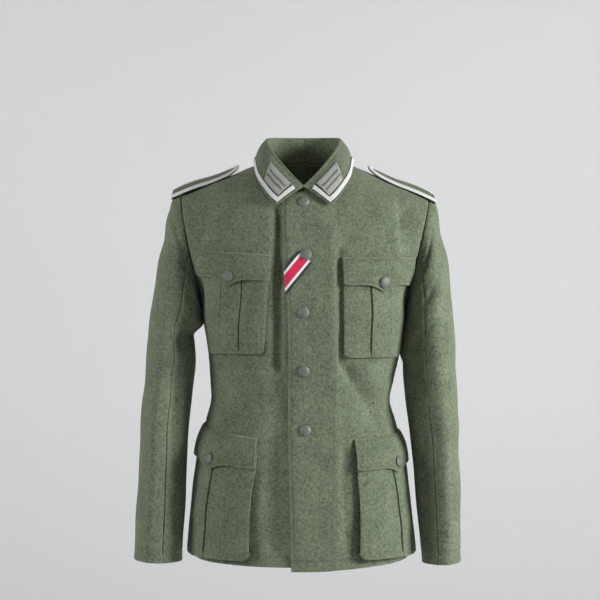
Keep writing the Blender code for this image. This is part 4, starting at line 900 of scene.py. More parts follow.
def closing(z):
    return read(closingEdge, "reach", z)


def panelGrid(sideName, face, s, low, way):
    # theta and z over a front or half the back: even angles up to the armpit, then a blend of four edges
    side, back = sides[sideName], face == "back"
    edgeAt = {"over": closing, "under": lambda z: np.full(np.shape(z), -body["underlap"]),
              "back": lambda z: np.zeros(np.shape(z))}[face]
    armpit = body["armpit"]
    start = evenAngle(thetaOf(side, edgeAt(np.array(armpit)), armpit))
    angle = start + s * (math.pi / 2 - start)
    share = angle / (math.pi / 2)
    hem = read(hemLine, "back" if back else sideName, share)[None, :]
    zLow = hem + low[:, None] * (armpit - hem)
    first = evenAngle(thetaOf(side, edgeAt(zLow), zLow))
    thetaLow = turnPower(first + s[None, :] * (math.pi / 2 - first), body["sectionRound"] / 2)
    reach = halfWidth(side, armpit) * signedPower(np.sin(thetaLow[-1]), 2 / body["sectionRound"])
    bottom = np.stack([reach, np.full(len(s), armpit)], axis=-1)
    r = 1 - (1 - way) ** 1.9
    top = topCurve(sideName, float(edgeAt(np.array(-0.06))), back, s)
    rise = armpit + r * (top[0, 1] - armpit)
    inner = np.stack([edgeAt(rise), rise], axis=-1)
    inner[-1] = top[0]
    outer = np.stack(armhole(sideName, math.pi * (1 - way)), axis=-1)
    blend = patchBetween(bottom, top, inner, outer, s, r)
    thetaTop = thetaOf(side, blend[..., 0], blend[..., 1])
    theta = np.concatenate([thetaLow, thetaTop[1:]])
    z = np.concatenate([zLow, blend[1:, :, 1]])
    return (math.pi - theta if back else theta), z


def lapOut(x):
    # how far the left front stands out to pass over the right one
    faded = ease((x - body["lapFull"]) / (body["lapFaded"] - body["lapFull"]))
    return (cloth["thick"] + cloth["lapGap"]) * (1 - faded)


def frontLift(side, theta, z):
    if side < 0:
        return 0.0
    return lapOut(halfWidth(side, z) * signedPower(np.sin(theta), 2 / body["sectionRound"]))


facing = {
    "line": ((-0.690, 0.0452), (-0.450, 0.0500), (-0.250, 0.0545), (-0.090, 0.0565)),  # height and distance across
    "cut": {"left": (0.372, 0.640, 0.185), "right": (0.366, 0.635, 0.188)},
}


def makeFronts():
    made = {}
    for sideName, side in sides.items():
        s = lines(body["frontColumns"], 0.30, edgeLines, edgeLines)
        low = lines(body["lowRows"], 0.46, hemLines)
        way = lines(body["topRows"], 0.20)
        theta, z = panelGrid(sideName, "over" if side > 0 else "under", s, low, way)
        lift = frontLift(side, theta, z)
        outer = bodyPoint(side, theta, z, lift)
        inner = bodyPoint(side, theta, z, lift - cloth["thick"])
        inset = None
        if side > 0:
            inset = (outer[..., 0] - readLine(facing["line"], outer[..., 2]), outer[..., 2], 0 * outer[..., 2])
        piece = clothWall(
            f"front{sideName.title()}", outer, inner, bodyWool,
            {"left": "fold" if side > 0 else "none", "first": "hem", "right": "seam", "last": "seam"},
            {"left": cloth["stitchIn"], "first": cloth["hemStitch"]}, inset, seed=3 if side > 0 else 4,
        )
        dress(piece, f"front_{sideName}")
        made[sideName] = piece
    return made


def makeBack():
    halves = []
    s = lines(body["backColumns"], 0.26, (), edgeLines)
    low = lines(body["lowRows"], 0.46, hemLines)
    way = lines(body["topRows"], 0.20)
    for sideName, side in (("right", -1.0), ("left", 1.0)):
        theta, z = panelGrid(sideName, "back", s, low, way)
        halves.append((bodyPoint(side, theta, z), bodyPoint(side, theta, z, -cloth["thick"])))
    outer, inner = (
        np.concatenate([right[:, :0:-1], (right[:, :1] + left[:, :1]) / 2, left[:, 1:]], axis=1)
        for right, left in zip(*halves)
    )
    piece = clothWall(
        "backPanel", outer, inner, bodyWool, {"left": "seam", "right": "seam", "first": "hem", "last": "seam"},
        {"first": cloth["hemStitch"]}, seed=6,
    )
    return dress(piece, "back")


fronts = makeFronts()
backPanel = makeBack()

print("tunic: sleeves")


def sleeveRead(sideName, ring, *names):
    return (read(sleeve[sideName], name, ring) for name in names)


def sleeveSurface(sideName, phi, ring):
    # a rounded section that hangs between the outer and inner outline; its first rings blend into the armhole seam
    side = sides[sideName]
    phi, ring = matched(phi, ring)
    power = 2 / sleeve["round"]
    cosPhi, sinPhi = signedPower(np.cos(phi), power), signedPower(np.sin(phi), power)
    outerX, outerZ, innerX, innerZ, middleY, halfDepth = sleeveRead(sideName, ring, *sleeve["columns"][1:])
    x = (outerX + innerX) / 2 + (outerX - innerX) / 2 * cosPhi
    z = (outerZ + innerZ) / 2 + (outerZ - innerZ) / 2 * cosPhi
    y = middleY - halfDepth * sinPhi
    reach, height = armhole(sideName, phi)
    front, back = (bodyPoint(side, thetaOf(side, reach, height, isBack), height)[..., 1] for isBack in (False, True))
    near = 1 - ease(ring / sleeve["blendRings"])
    return np.stack([side * x, y + (np.where(np.sin(phi) >= 0, front, back) - y) * near, z], axis=-1)


def sleeveSunk(sideName, phi, ring):
    # each fold is a bell in ring number times a bell round the arm
    side, sunk = sides[sideName], np.zeros(phi.shape)
    parts = [(*row, 1.0) for row in sleeve["folds"] + sleeve["foldsFine"]]
    parts += [(*row, 0.0, sleeve["hollowShare"][sideName]) for row in sleeve["hollows"]]
    for atRing, atRound, ringReach, roundReach, depth, slant, share in parts:
        turn = (np.degrees(phi) - atRound + 180) % 360 - 180
        skew = ring - atRing - slant * turn * side
        sunk = sunk + share * depth * bell(skew / ringReach) * bell(turn / roundReach)
    sunk = sunk + uneven(0.07 * np.cos(phi) + 0.5 * side, 0.05 * ring + 0.05 * np.sin(phi), sleeveWaves)
    fromRing, strength, reach = sleeve["still"]
    inner = bell((np.degrees(phi) % 360 - 180) / reach)
    return sunk * ease((ring - 0.6) / 1.5) * (1 - strength * inner * ease(ring - fromRing))


def sleevePoint(sideName, phi, ring, out=0.0):
    # the surface moved along its normal, less the folds, and pressed against the body under the arm
    side, small = sides[sideName], 1e-3
    phi, ring = matched(phi, ring)
    roundWay = sleeveSurface(sideName, phi + small, ring) - sleeveSurface(sideName, phi - small, ring)
    below, above = np.minimum(ring + small, lastRing), np.maximum(ring - small, 0)
    downWay = sleeveSurface(sideName, phi, below) - sleeveSurface(sideName, phi, above)
    normal = unit(np.cross(roundWay, downWay) * side)
    place = sleeveSurface(sideName, phi, ring) + normal * (out - sleeveSunk(sideName, phi, ring))[..., None]
    start, end = sleeve["turnedRings"]
    turned = np.maximum(np.sin(phi), 0) ** 1.5 * ease((ring - start) / (end - start))
    place[..., 0] += side * sleeve["turnedOut"][sideName] * turned
    # its inner half moves in by the gap, and parts from the body lower down
    innerX, innerZ = sleeveRead(sideName, ring, "innerX", "innerZ")
    high, low = sleeve["parting"][sideName]
    gap = np.maximum(innerX - halfWidth(side, innerZ) + sleeve["pressed"], 0) * ease((innerZ - low) / (high - low))
    place[..., 0] -= side * gap * ease(-1.5 * np.cos(phi))
    return place


def makeSleeves():
    ring = lines(sleeve["rows"], 0.62, edgeLines, hemLines)[:, None] * lastRing
    made, seamAt, gap = {}, sleeve["seamAt"], sleeve["gap"]
    cuts = {
        "upper": (-seamAt + gap, seamAt - gap, sleeve["upperColumns"], 0.27),
        "under": (seamAt, 2 * math.pi - seamAt, sleeve["underColumns"], 0.16),
    }
    for sideName, side in sides.items():
        for name, (start, end, columns, girth) in cuts.items():
            phi = (start + lines(columns, girth, edgeLines[:4], edgeLines[:4]) * (end - start))[None, :]
            clear = cloth["seamGap"] + sleeve["clear"] + sleeve["clearOnTop"] * np.maximum(0, np.cos(phi))
            outer, inner = (sleevePoint(sideName, phi, ring, out) for out in (0.0, -cloth["thick"]))
            outer[..., 0] += side * clear
            inner[..., 0] += side * clear
            piece = clothWall(
                f"{name}Sleeve{sideName.title()}", outer, inner, bodyWool,
                {"first": "seam", "last": "hem", "left": "seam", "right": "seam"}, {"last": 0.0225}, seed=8,
            )
            made[name, sideName] = dress(piece, f"{name}_sleeve_{sideName}")
    return made


sleeves = makeSleeves()

print("tunic: collar, lace and patches")

collar = {
    "columns": ("round", "neck", "foldX", "foldY", "foldZ", "edgeX", "edgeY", "edgeZ", "bulge"),
    "rows": (
        (0, 0, 0.0006, -0.0965, -0.0420, 0.0449, -0.1125, -0.0755, 0.0030),
        (1, 22, 0.0209, -0.0850, -0.0211, 0.0600, -0.1030, -0.0600, 0.0050),
        (2, 45, 0.0447, -0.0590, 0.0078, 0.0780, -0.0740, -0.0300, 0.0052),
        (3, 68, 0.0589, -0.0240, 0.0300, 0.0832, -0.0250, -0.0020, 0.0040),
        (4, 92, 0.0628, 0.0090, 0.0441, 0.0840, 0.0160, 0.0065, 0.0036),
        (5, 118, 0.0590, 0.0360, 0.0490, 0.0785, 0.0520, 0.0060, 0.0045),
        (6, 150, 0.0380, 0.0610, 0.0515, 0.0500, 0.0790, 0.0020, 0.0055),
        (7, 180, 0.0000, 0.0700, 0.0520, 0.0000, 0.0880, -0.0010, 0.0055),
    ),
    "thick": 0.0020,
    "turn": 0.0021,
    "seamGap": 0.0010,
    "cut": (0.480, 0.104, 0.046),
}
braid = {
    "width": 0.0078, "insetFront": 0.0044, "insetBack": 0.0014, "thick": 0.0012, "gap": 0.0006, "frontStep": 0.030,
    "bead": 0.0002, "frontFrom": 0.26,
}
patch = {"thick": 0.0014, "front": 0.52, "rear": 1.75, "upper": 0.20, "lower": 0.74, "slant": 0.10, "rearSlant": 0.24}


def collarRead(name, u):
    return read(collar, name, np.abs(u))


def collarAway(u):
    turn = np.radians(collarRead("neck", u))
    return np.stack([np.sin(turn), -np.cos(turn), 0 * turn], axis=-1)


def collarLine(name, u):
    return np.stack([collarRead(f"{name}{axis}", u) for axis in "XYZ"], axis=-1)


def collarNeck(side, u):
    psi = np.radians(collarRead("neck", u))
    reach, z = neckPoint(side, psi)
    middle = -cloth["thick"] / 2 * (crest(side, reach) - z) / body["shoulderDrop"]
    lift = lapOut(reach) if side > 0 else 0.0
    front = bodyPoint(side, thetaOf(side, reach, z), z, middle + lift, False)
    back = bodyPoint(side, thetaOf(side, reach, z, True), z, middle, False)
    place = np.where((psi > math.pi / 2)[..., None], back, front)
    place[..., 0] = np.where(np.abs(u) < 1e-9, side * 0.0006, place[..., 0])
    place[..., 2] += collar["seamGap"]
    return place


def collarLeaf(side, u, v):
    # straight from the fold (v = 0) to the free edge (v = 1), lifted by a half wave
    u, v = matched(u, v)
    fold, edge, away = collarLine("fold", u), collarLine("edge", u), collarAway(u)
    start = fold + away * collar["turn"] - np.array([0, 0, collar["turn"]])
    bulge = (collarRead("bulge", u) * np.sin(math.pi * np.clip(v, 0, 1) ** 0.8))[..., None]
    place = start + (edge - start) * v[..., None] + away * bulge + np.array([0, 0, 0.4]) * bulge
    return place * np.array([side, 1, 1])


def collarStrip(side, u):
    # down one line of the collar: stand, half circle of the fold, leaf
    fold, away, up = collarLine("fold", u), collarAway(u), np.array([0, 0, 1.0])
    mirror = np.array([side, 1, 1])
    turnMiddle = fold - up * collar["turn"]
    seam = collarNeck(side, u) * mirror
    standTop = turnMiddle - away * collar["turn"]
    rows = [(seam + (standTop - seam) * share) * mirror for share in np.linspace(0, 0.93, 12)]
    for angle in np.radians(np.linspace(180, 0, 9)[:-1]):
        rows.append((turnMiddle + (away * math.cos(angle) + up * math.sin(angle)) * collar["turn"]) * mirror)
    # the point of the leaf is rounded off
    point = 1 - np.sqrt(1 - np.clip(1 - u / 0.16, 0, 1) ** 2)
    for share in lines(26, 0.048, (), edgeLines):
        rows.append(collarLeaf(side, u, share * (1 - 0.07 * point * share ** 6)))
    return np.stack(rows)


def gridNormals(points):
    down, across = np.gradient(points, axis=0), np.gradient(points, axis=1)
    return unit(np.cross(down, across))


def makeCollar():
    u = lines(78, 0.235, edgeLines) * 7
    right, left = collarStrip(-1.0, u), collarStrip(1.0, u)
    middle = np.concatenate([right, left[:, -2::-1]], axis=1)
    normal = gridNormals(middle)
    frontColumn = int(np.searchsorted(u, 1.5))
    if normal[-4, frontColumn] @ np.array([0, -1.0, 0]) < 0:
        normal = -normal
    away = collarAway(u)
    away = np.concatenate([away * np.array([-1, 1, 1]), away[-2::-1]])
    normal[0] = -away
    piece = clothWall(
        "collarCloth", middle + normal * collar["thick"] / 2, middle - normal * collar["thick"] / 2, collarWool,
        {"last": "fold"},
    )
    return dress(piece, "collar")


def leafSkin(side, u, v, out):
    # a point outside the leaf's outer face, along its normal
    small = 1e-3
    along = collarLeaf(side, u + small, v) - collarLeaf(side, u - small, v)
    down = collarLeaf(side, u, v + small) - collarLeaf(side, u, v - small)
    normal = unit(np.cross(along, down) * side)
    facingOut = (normal * collarAway(u) * np.array([side, 1, 1])).sum(axis=-1, keepdims=True)
    normal = normal * np.where(facingOut < 0, -1, 1)
    return collarLeaf(side, u, v) + normal * (collar["thick"] / 2 + np.asarray(out))[..., None]


def leafLength(u):
    return np.linalg.norm(collarLine("edge", u) - collarLine("fold", u), axis=-1)


def makeBraid():
    # lace up both front edges and round the free edge, mitred at the points
    share = np.linspace(0, 1, 11)
    upFront = np.linspace(braid["frontFrom"], 1, 22)[:-1]
    uSteps = np.linspace(0, 1, 110)
    outerRows, innerRows = [], []
    for part in share:
        inset = braid["insetFront"] + braid["width"] * part
        crown = braid["bead"] * (1 - (2 * part - 1) ** 4) + 0.00012 * math.cos(part * 2 * math.pi * 3)
        cornerU = inset / braid["frontStep"]
        uLow = cornerU + (7 - cornerU) * uSteps
        insetLow = inset - (braid["insetFront"] - braid["insetBack"]) * ease((uLow - 1.2) / 2.6)
        vLow = 1 - insetLow / leafLength(uLow)
        uLine = np.concatenate([np.full(len(upFront), cornerU), uLow])
        vLine = np.concatenate([vLow[0] * upFront, vLow])
        top, under = [], []
        for side in (-1.0, 1.0):
            high = leafSkin(side, uLine, vLine, np.full(len(uLine), braid["gap"] + braid["thick"] + crown))
            low = leafSkin(side, uLine, vLine, np.full(len(uLine), braid["gap"]))
            top.append(high if side < 0 else high[-2::-1])
            under.append(low if side < 0 else low[-2::-1])
        outerRows.append(np.concatenate(top))
        innerRows.append(np.concatenate(under))
    outer, inner = np.stack(outerRows), np.stack(innerRows)
    run = borderDistances(outer)["left"][5:6] + 0 * outer[..., 0]
    uv = np.stack([run, (share[:, None] - 0.5) * braid["width"] + 0 * run], axis=-1)
    piece = clothWall("collarBraid", outer, inner, collarLace, uv=uv)
    return dress(piece, "collar_braid")


def makePatches():
    # slanted oblongs of lace bars; the bars are raised where the grey runs
    made = []
    rows, columns = np.linspace(0, 1, 41)[:, None], np.linspace(0, 1, 41)[None, :]
    v = patch["upper"] + (patch["lower"] - patch["upper"]) * rows + 0 * columns
    u = patch["front"] + (patch["rear"] - patch["front"]) * columns + patch["slant"] * (0.5 - rows)
    u = u + patch["rearSlant"] * (0.6 - rows) * columns ** 2
    bars = 0.00025 * (bell((rows - 0.16) / 0.11) + bell((rows - 0.5) / 0.06) + bell((rows - 0.84) / 0.11)) + 0 * columns
    for sideName, side in sides.items():
        high = leafSkin(side, u, v, cloth["trimGap"] + patch["thick"] - 0.0002 + bars)
        low = leafSkin(side, u, v, cloth["trimGap"] + 0 * u)
        # the green stripes waver a little and stop short of both ends
        late = 0.035 * (rows > 0.5)
        plain = np.maximum(1 - ease((columns - 0.045 - late) / 0.025), ease((columns - 0.905 - late) / 0.025))
        waver = rows + 0.014 * np.sin(11 * columns + 5 * side + 6 * rows) * np.sin(math.pi * rows)
        uv = np.stack([columns * 0.042 + 0 * rows, waver * (1 - plain) + 0.5 * plain], axis=-1)
        piece = clothWall(f"collarPatch{sideName.title()}", high, low, patchLace, uv=uv)
        dress(piece, f"collar_patch_{sideName}")
        made.append(piece)
    return made


collarCloth = makeCollar()
collarBraid = makeBraid()
collarPatches = makePatches()

print("tunic: pockets and flaps")

breast = {
    "width": 0.130, "flapWidth": 0.138, "stand": 0.0034, "lowerStand": 0.0052, "belly": 0.0025, "tuck": 0.0024,
    "corner": 0.010,
    "left": {
        "inner": ((-0.330, 0.0655), (-0.210, 0.0650), (-0.150, 0.0645)),
        "flapInner": ((-0.230, 0.0637), (-0.150, 0.0642)),
        "flapTop": (-0.1610, -0.1600), "flapDrop": 0.0475, "bottom": -0.3285, "slit": 0.047, "spread": (0.0, 0.0),
    },
    "right": {
        "inner": ((-0.325, 0.0645), (-0.207, 0.0576), (-0.150, 0.0545)),
        "flapInner": ((-0.230, 0.0543), (-0.150, 0.0533)),
        "flapTop": (-0.1570, -0.1480), "flapDrop": 0.0445, "bottom": -0.3225, "slit": 0.045, "spread": (0.0, 0.0),
    },
    "cut": (0.150, 0.165, 0.0233), "flapCut": (0.140, 0.056, 0.0073),
}
skirt = {
    "width": 0.163, "flapWidth": 0.168, "stand": 0.0060, "lowerStand": 0.0130, "belly": 0.0020, "tuck": 0.0060,
    "corner": 0.015,
    "left": {
        "inner": ((-0.665, 0.0875), (-0.600, 0.0890), (-0.560, 0.0880), (-0.519, 0.0855), (-0.470, 0.0835)),
        "flapInner": ((-0.520, 0.0850), (-0.463, 0.0813)),
        "flapTop": (-0.4640, -0.4530), "flapDrop": 0.0520, "bottom": -0.6620, "slit": 0.068, "spread": (0.0065, 0.0130),
    },
    "right": {
        "inner": ((-0.665, 0.0855), (-0.594, 0.0850), (-0.557, 0.0825), (-0.515, 0.0765), (-0.470, 0.0735)),
        "flapInner": ((-0.520, 0.0795), (-0.460, 0.0725)),
        "flapTop": (-0.4610, -0.4420), "flapDrop": 0.0520, "bottom": -0.6630, "slit": 0.078, "spread": (0.0065, 0.0020),
    },
    "cut": (0.198, 0.208, 0.0402), "flapCut": (0.170, 0.065, 0.0103),
}
pleat = {
    "width": 0.037, "rise": 0.0014, "dip": 0.0034, "lip": 0.0012,
    # furrows beside the pleat: reach of the slit's and of the far side's, and the far one's share of the depth
    "slitReach": 0.00075, "farReach": 0.0008, "farShare": 0.35,
    # lines of the mesh beside each edge of the pleat
    "beside": (0.0004, 0.0008, 0.0013, 0.0020, 0.0030),
}
flap = {
    "point": 0.0150, "pointReach": 0.125, "swing": 0.0034, "corner": 0.009, "buttonFall": 0.72, "lift": 0.0016,
    "cover": 0.016,
}
# from a pocket's foot up its folded-in wall to its face: share of the fold, distance in, share of the stand and
# share of the wall
gusset = (
    (1.0, 0.0, 0.0, 1.0), (0.95, 0.0, 0.3, 1.0), (0.7, 0.0, 0.62, 1.0), (0.15, 0.0, 0.84, 1.0),
    (0.0, 0.0, 0.915, 0.85), (0.0, 0.0008, 0.975, 0.5), (0.0, 0.0036, 1.0, 0.0),
)


def roundedEnds(across, width, corner):
    # how far a lower edge rises towards its two ends: nearly a quarter circle of the corner's radius
    ends = np.maximum(np.clip(1 - across / corner, 0, 1), np.clip(1 - (width - across) / corner, 0, 1))
    return corner * (1 - np.sqrt(1 - ends ** 2 * 0.9))


tapeSteps = {"heights": (-0.70, -0.10, 161), "degrees": (0, 90, 241), "arcs": (0, 0.26, 521)}


def makeTape(side):
    # angles reached by a tape laid round the front from the middle, for a ladder of heights
    heights, angles = np.linspace(*tapeSteps["heights"]), np.radians(np.linspace(*tapeSteps["degrees"]))
    points = bodyPoint(side, angles[None, :], heights[:, None], 0.0, False)
    steps = np.hypot(np.diff(points[..., 0], axis=1), np.diff(points[..., 1], axis=1))
    tape = np.concatenate([np.zeros((len(heights), 1)), np.cumsum(steps, axis=1)], axis=1)
    arcs = np.linspace(*tapeSteps["arcs"])
    return heights, arcs, np.stack([np.interp(arcs, row, angles) for row in tape]), tape, angles


tapes = {side: makeTape(side) for side in sides.values()}


def lookUp(grid, firsts, seconds, first, second):
    # bilinear reading of an even grid
    i = np.clip((first - firsts[0]) / (firsts[1] - firsts[0]), 0, len(firsts) - 1.001)
    j = np.clip((second - seconds[0]) / (seconds[1] - seconds[0]), 0, len(seconds) - 1.001)
    a, b = i.astype(int), j.astype(int)
    f, g = i - a, j - b
    low, high = (grid[a, c] * (1 - f) + grid[a + 1, c] * f for c in (b, b + 1))
    return low * (1 - g) + high * g


def thetaAtArc(side, arc, z):
    heights, arcs, table, _, _ = tapes[side]
    arc, z = matched(arc, z)
    return lookUp(table, heights, arcs, z, arc)


def arcOf(side, reach, z):
    heights, _, _, tape, angles = tapes[side]
    theta = thetaOf(side, reach, z)
    reach, z, theta = np.broadcast_arrays(reach, z, theta)
    return lookUp(tape, heights, angles, z, theta)


def onFront(side, arc, z, out):
    theta = thetaAtArc(side, arc, z)
    return bodyPoint(side, theta, z, out + frontLift(side, theta, z))


def makePocket(kind, sideName, size):
    # a patch pocket on walls: full height of the stand inside, falling to the body through the gusset's profile
    side, pocket = sides[sideName], size[sideName]
    width, slit = size["width"], pocket["slit"]
    far = slit + pleat["width"]
    beside = np.array([0.0, *pleat["beside"], *(-v for v in pleat["beside"])])
    extra = np.concatenate([slit + beside, far + beside])
    even = np.linspace(0.0070, width - 0.0070, 46 if width < 0.15 else 56)
    even = even[np.abs(even[:, None] - extra[None, :]).min(axis=1) > 0.0012]
    middleColumns = np.sort(np.concatenate([even, extra]))
    foldShare, wallIn, wallShare, wallPart = (np.array(c) for c in zip(*gusset))
    sideIn, lowIn = wallIn + size["tuck"] * foldShare, wallIn + size["tuck"] * 0.45 * foldShare
    across = np.concatenate([sideIn, middleColumns, width - sideIn[::-1]])[None, :]
    columnShare = np.concatenate([wallShare, np.ones(len(middleColumns)), wallShare[::-1]])[None, :]
    columnPart = np.concatenate([wallPart, np.zeros(len(middleColumns)), wallPart[::-1]])[None, :]
    top, bottom = pocket["flapTop"][0] - flap["cover"], pocket["bottom"]
    height = top - bottom
    face = np.linspace(0, 1 - 0.0065 / height, 52 if height < 0.16 else 62)
    fall = np.concatenate([face, 1 - lowIn[::-1] / height])[:, None]
    rowShare = np.concatenate([np.ones(len(fall) - len(gusset)), wallShare[::-1]])[:, None]
    rowPart = np.concatenate([np.zeros(len(fall) - len(gusset)), wallPart[::-1]])[:, None]
    z = top + (bottom + roundedEnds(across, width, size["corner"]) * fall - top) * fall
    zFlat = top + (bottom - top) * fall
    innerEdge = arcOf(side, readLine(pocket["inner"], zFlat), zFlat)
    stand = size["stand"] + (size["lowerStand"] - size["stand"]) * fall
    belly = size["belly"] * np.sin(math.pi * across / width) * np.sin(math.pi * np.minimum(fall, 1) ** 1.2)
    raised = ease((across - slit) / pleat["lip"]) * (1 - ease((across - far + pleat["lip"]) / pleat["lip"]))
    slitLine = bell((across - slit + 0.0002) / pleat["slitReach"]) * ease((0.965 - fall) / 0.05)
    farLine = bell((across - far - 0.0002) / pleat["farReach"]) * ease((0.955 - fall) / 0.05)
    hollow = 0.0011 * bell((across - slit + 0.012) / 0.009) * np.sin(math.pi * np.clip(fall, 0, 1)) ** 0.7
    full = stand + belly + pleat["rise"] * raised * ease(fall * 4 + 0.2) - hollow
    full = full + uneven(across + 0.3 * side, z, pocketWaves) * ease(fall * 3)
    farLine = pleat["farShare"] * farLine
    full = np.maximum(full - pleat["dip"] * (slitLine + farLine), np.minimum(full, 0.0022))
    share = columnShare * rowShare
    outHigh = cloth["footGap"] + (full - cloth["footGap"]) * share
    thick = cloth["pocketThick"]
    stillWall = np.maximum(columnPart, rowPart)
    outLow = outHigh - thick * (1 - stillWall)
    outLow = np.where(share <= 0, cloth["footGap"], np.maximum(outLow, cloth["footGap"] * 0.9))
    # towards its foot the pocket widens, and the pleat leans outwards
    wider, leaning = pocket["spread"]
    lean = np.interp(across, [0.012, slit - 0.008, far + 0.004, width - 0.012], [0.0, 1.0, 1.0, 0.0])
    arc = innerEdge + across + fall * (wider * across / width + leaning * lean) + 0 * z
    inwards = np.sign(width / 2 - across) * thick * columnPart
    outer = onFront(side, arc, z, outHigh)
    inner = onFront(side, arc + inwards, z + thick * rowPart, outLow)
    # painted shade: darkens the pleat's slits and the pocket's folded-in walls and foot, carried in the inset attribute
    paintedFoldShade = np.maximum(np.maximum(slitLine, farLine), 0.95 * (1 - ease(share * 1.1)))
    piece = clothWall(
        f"{kind}Pocket{sideName.title()}", outer, inner, bodyWool,
        inset=(1 + 0 * share, 1 + 0 * share, np.clip(paintedFoldShade + 0 * share, 0, 0.95)),
    )
    return dress(piece, f"{kind}_pocket_{sideName}")


def flapPlace(sideName, size, across, fall):
    # distance round and height: upright ends, a lower edge that dips to a point in the middle
    side, pocket, width = sides[sideName], size[sideName], size["flapWidth"]
    share = across / width
    top = pocket["flapTop"][0] + (pocket["flapTop"][1] - pocket["flapTop"][0]) * share
    point = flap["point"] * np.exp(-(np.hypot(share - 0.5, 0.012) / flap["pointReach"]) ** 1.35)
    swing = flap["swing"] * np.sin(math.pi * share) ** 2
    corner = 0.8 * roundedEnds(across, width, flap["corner"])
    z = top - (pocket["flapDrop"] + point - swing - corner) * fall
    height = np.array(pocket["flapTop"][0] - pocket["flapDrop"] / 2)
    start = arcOf(side, readLine(pocket["flapInner"], height), height)
    return start + across + 0 * z, z


def flapPoint(sideName, size, across, fall, out):
    arc, z = flapPlace(sideName, size, across, fall)
    share = across / size["flapWidth"]
    roll = 1 - (1 - fall) ** 2.6
    stand = size["stand"] + pleat["rise"] + size["belly"] * np.sin(math.pi * np.clip(share, 0, 1)) * 0.6
    stand = cloth["lyingGap"] + (stand + flap["lift"]) * roll
    fromButton = np.hypot((share - 0.5) * size["flapWidth"], (fall - flap["buttonFall"]) * size[sideName]["flapDrop"])
    stand = stand - 0.0007 * bell(fromButton / 0.013) + 0.0004 * bell((fromButton - 0.024) / 0.010)
    side = sides[sideName]
    theta = thetaAtArc(side, arc, z)
    return bodyPoint(side, theta, z, stand + out + frontLift(side, theta, z))


def makeFlap(kind, sideName, size):
    width = size["flapWidth"]
    across = (lines(64, width, edgeLines, edgeLines) * width)[None, :]
    fall = lines(26, size[sideName]["flapDrop"], edgeLines, edgeLines)[:, None] + 0 * across
    wave = uneven(across + 0.11 * sides[sideName], fall * 0.05, pocketWaves) * np.clip(fall, 0, 1)
    outer = flapPoint(sideName, size, across, fall, cloth["pocketThick"] + wave)
    inner = flapPoint(sideName, size, across, fall, wave)
    piece = clothWall(
        f"{kind}Flap{sideName.title()}", outer, inner, bodyWool,
        {"left": "fold", "right": "fold", "last": "fold", "first": "seam"},
        dict.fromkeys(("left", "right", "last", "first"), cloth["stitchIn"]),
        pucker=0.0, seed=18,
    )
    return dress(piece, f"{kind}_flap_{sideName}")


pocketKinds = {"breast": breast, "skirt": skirt}
pockets, flaps = {}, {}
for kind, size in pocketKinds.items():
    for sideName in sides:
        pockets[kind, sideName] = makePocket(kind, sideName, size)
        flaps[kind, sideName] = makeFlap(kind, sideName, size)

print("tunic: buttons, buttonholes and eyelets")

buttons = {
    "front": ((0.0005, -0.0685), (0.0037, -0.1570), (0.0000, -0.2526), (0.0007, -0.3503), (0.0028, -0.4478)),
    "radius": 0.0095,
    "height": 0.0042,
    # off the cloth: on the front, over the ribbon, on a flap
    "off": (0.0006, 0.0017, 0.0010),
    # middle beside the button, half size and thickness of thread of a buttonhole
    "hole": {"beside": (0.0068, 0.0004), "half": (0.0085, 0.0014), "thread": 0.0007},
    # shares of the radius and of the height: back, rolled rim, dome
    "profile": (
        (0.0, 0.0), (0.55, 0.0), (0.84, 0.0), (0.94, 0.05), (0.99, 0.16), (1.0, 0.28), (0.985, 0.38), (0.95, 0.44),
        (0.92, 0.45), (0.895, 0.47), (0.86, 0.56), (0.78, 0.69), (0.66, 0.81), (0.50, 0.90), (0.33, 0.96),
        (0.16, 0.99), (0.0, 1.0),
    ),
}


def makeButton(name, solid, place, normal):
    profile = [(r * buttons["radius"], h * buttons["height"]) for r, h in buttons["profile"]]
    dress(lathe(name, profile, place, normal, 56, buttonPaint), solid)


def facingFront(across, up):
    # the unit normal of two directions, turned to the front
    normal = unit(np.cross(across, up))
    return normal if normal[1] < 0 else -normal


def makeHole(name, places, normal, material):
    # a thread ring: an oval path lying on the cloth, a little flattened
    up = np.tile(normal, (len(places), 1))
    piece = tube(name, places, up, buttons["hole"]["thread"], material, closed=True, squash=0.7)


def makeButtons():
    lift, turn = cloth["thick"] + cloth["lapGap"], fullTurn(48)
    plainOff, ribbonOff, flapOff = buttons["off"]
    (besideX, besideZ), (halfX, halfZ) = buttons["hole"]["beside"], buttons["hole"]["half"]
    for number, (x, z) in enumerate(buttons["front"], 1):
        theta = thetaOf(1.0, x, z)
        leftWay, rightWay = (bodyPoint(1.0, theta + step, z, 0, False) for step in (-0.03, 0.03))
        lower, upper = (bodyPoint(1.0, theta, z + step, 0, False) for step in (-0.006, 0.006))
        normal = facingFront(rightWay - leftWay, upper - lower)
        base = bodyPoint(1.0, theta, z, lift, False) + normal * (ribbonOff if number == 2 else plainOff)
        makeButton(f"frontButton{number}", f"button_front_{number}", base, normal)
        if number > 1:
            holeX, holeZ = x + besideX + halfX * signedPower(np.cos(turn), 0.8), z + besideZ + halfZ * np.sin(turn)
            path = bodyPoint(1.0, thetaOf(1.0, holeX, holeZ), holeZ, lift + 0.0003)
            makeHole(f"frontHole{number}", path, normal, sewingThread)
    for kind, size in pocketKinds.items():
        for sideName in sides:
            across, fall = np.array([[size["flapWidth"] * 0.5]]), np.array([[flap["buttonFall"]]])
            here, above, beside = (
                flapPoint(sideName, size, across + a, fall + b, cloth["pocketThick"])[0, 0]
                for a, b in ((0, 0), (0, -0.2), (0.01, 0))
            )
            normal = facingFront(beside - here, above - here)
            makeButton(f"{kind}Button{sideName.title()}", f"button_{kind}_{sideName}", here + normal * flapOff, normal)


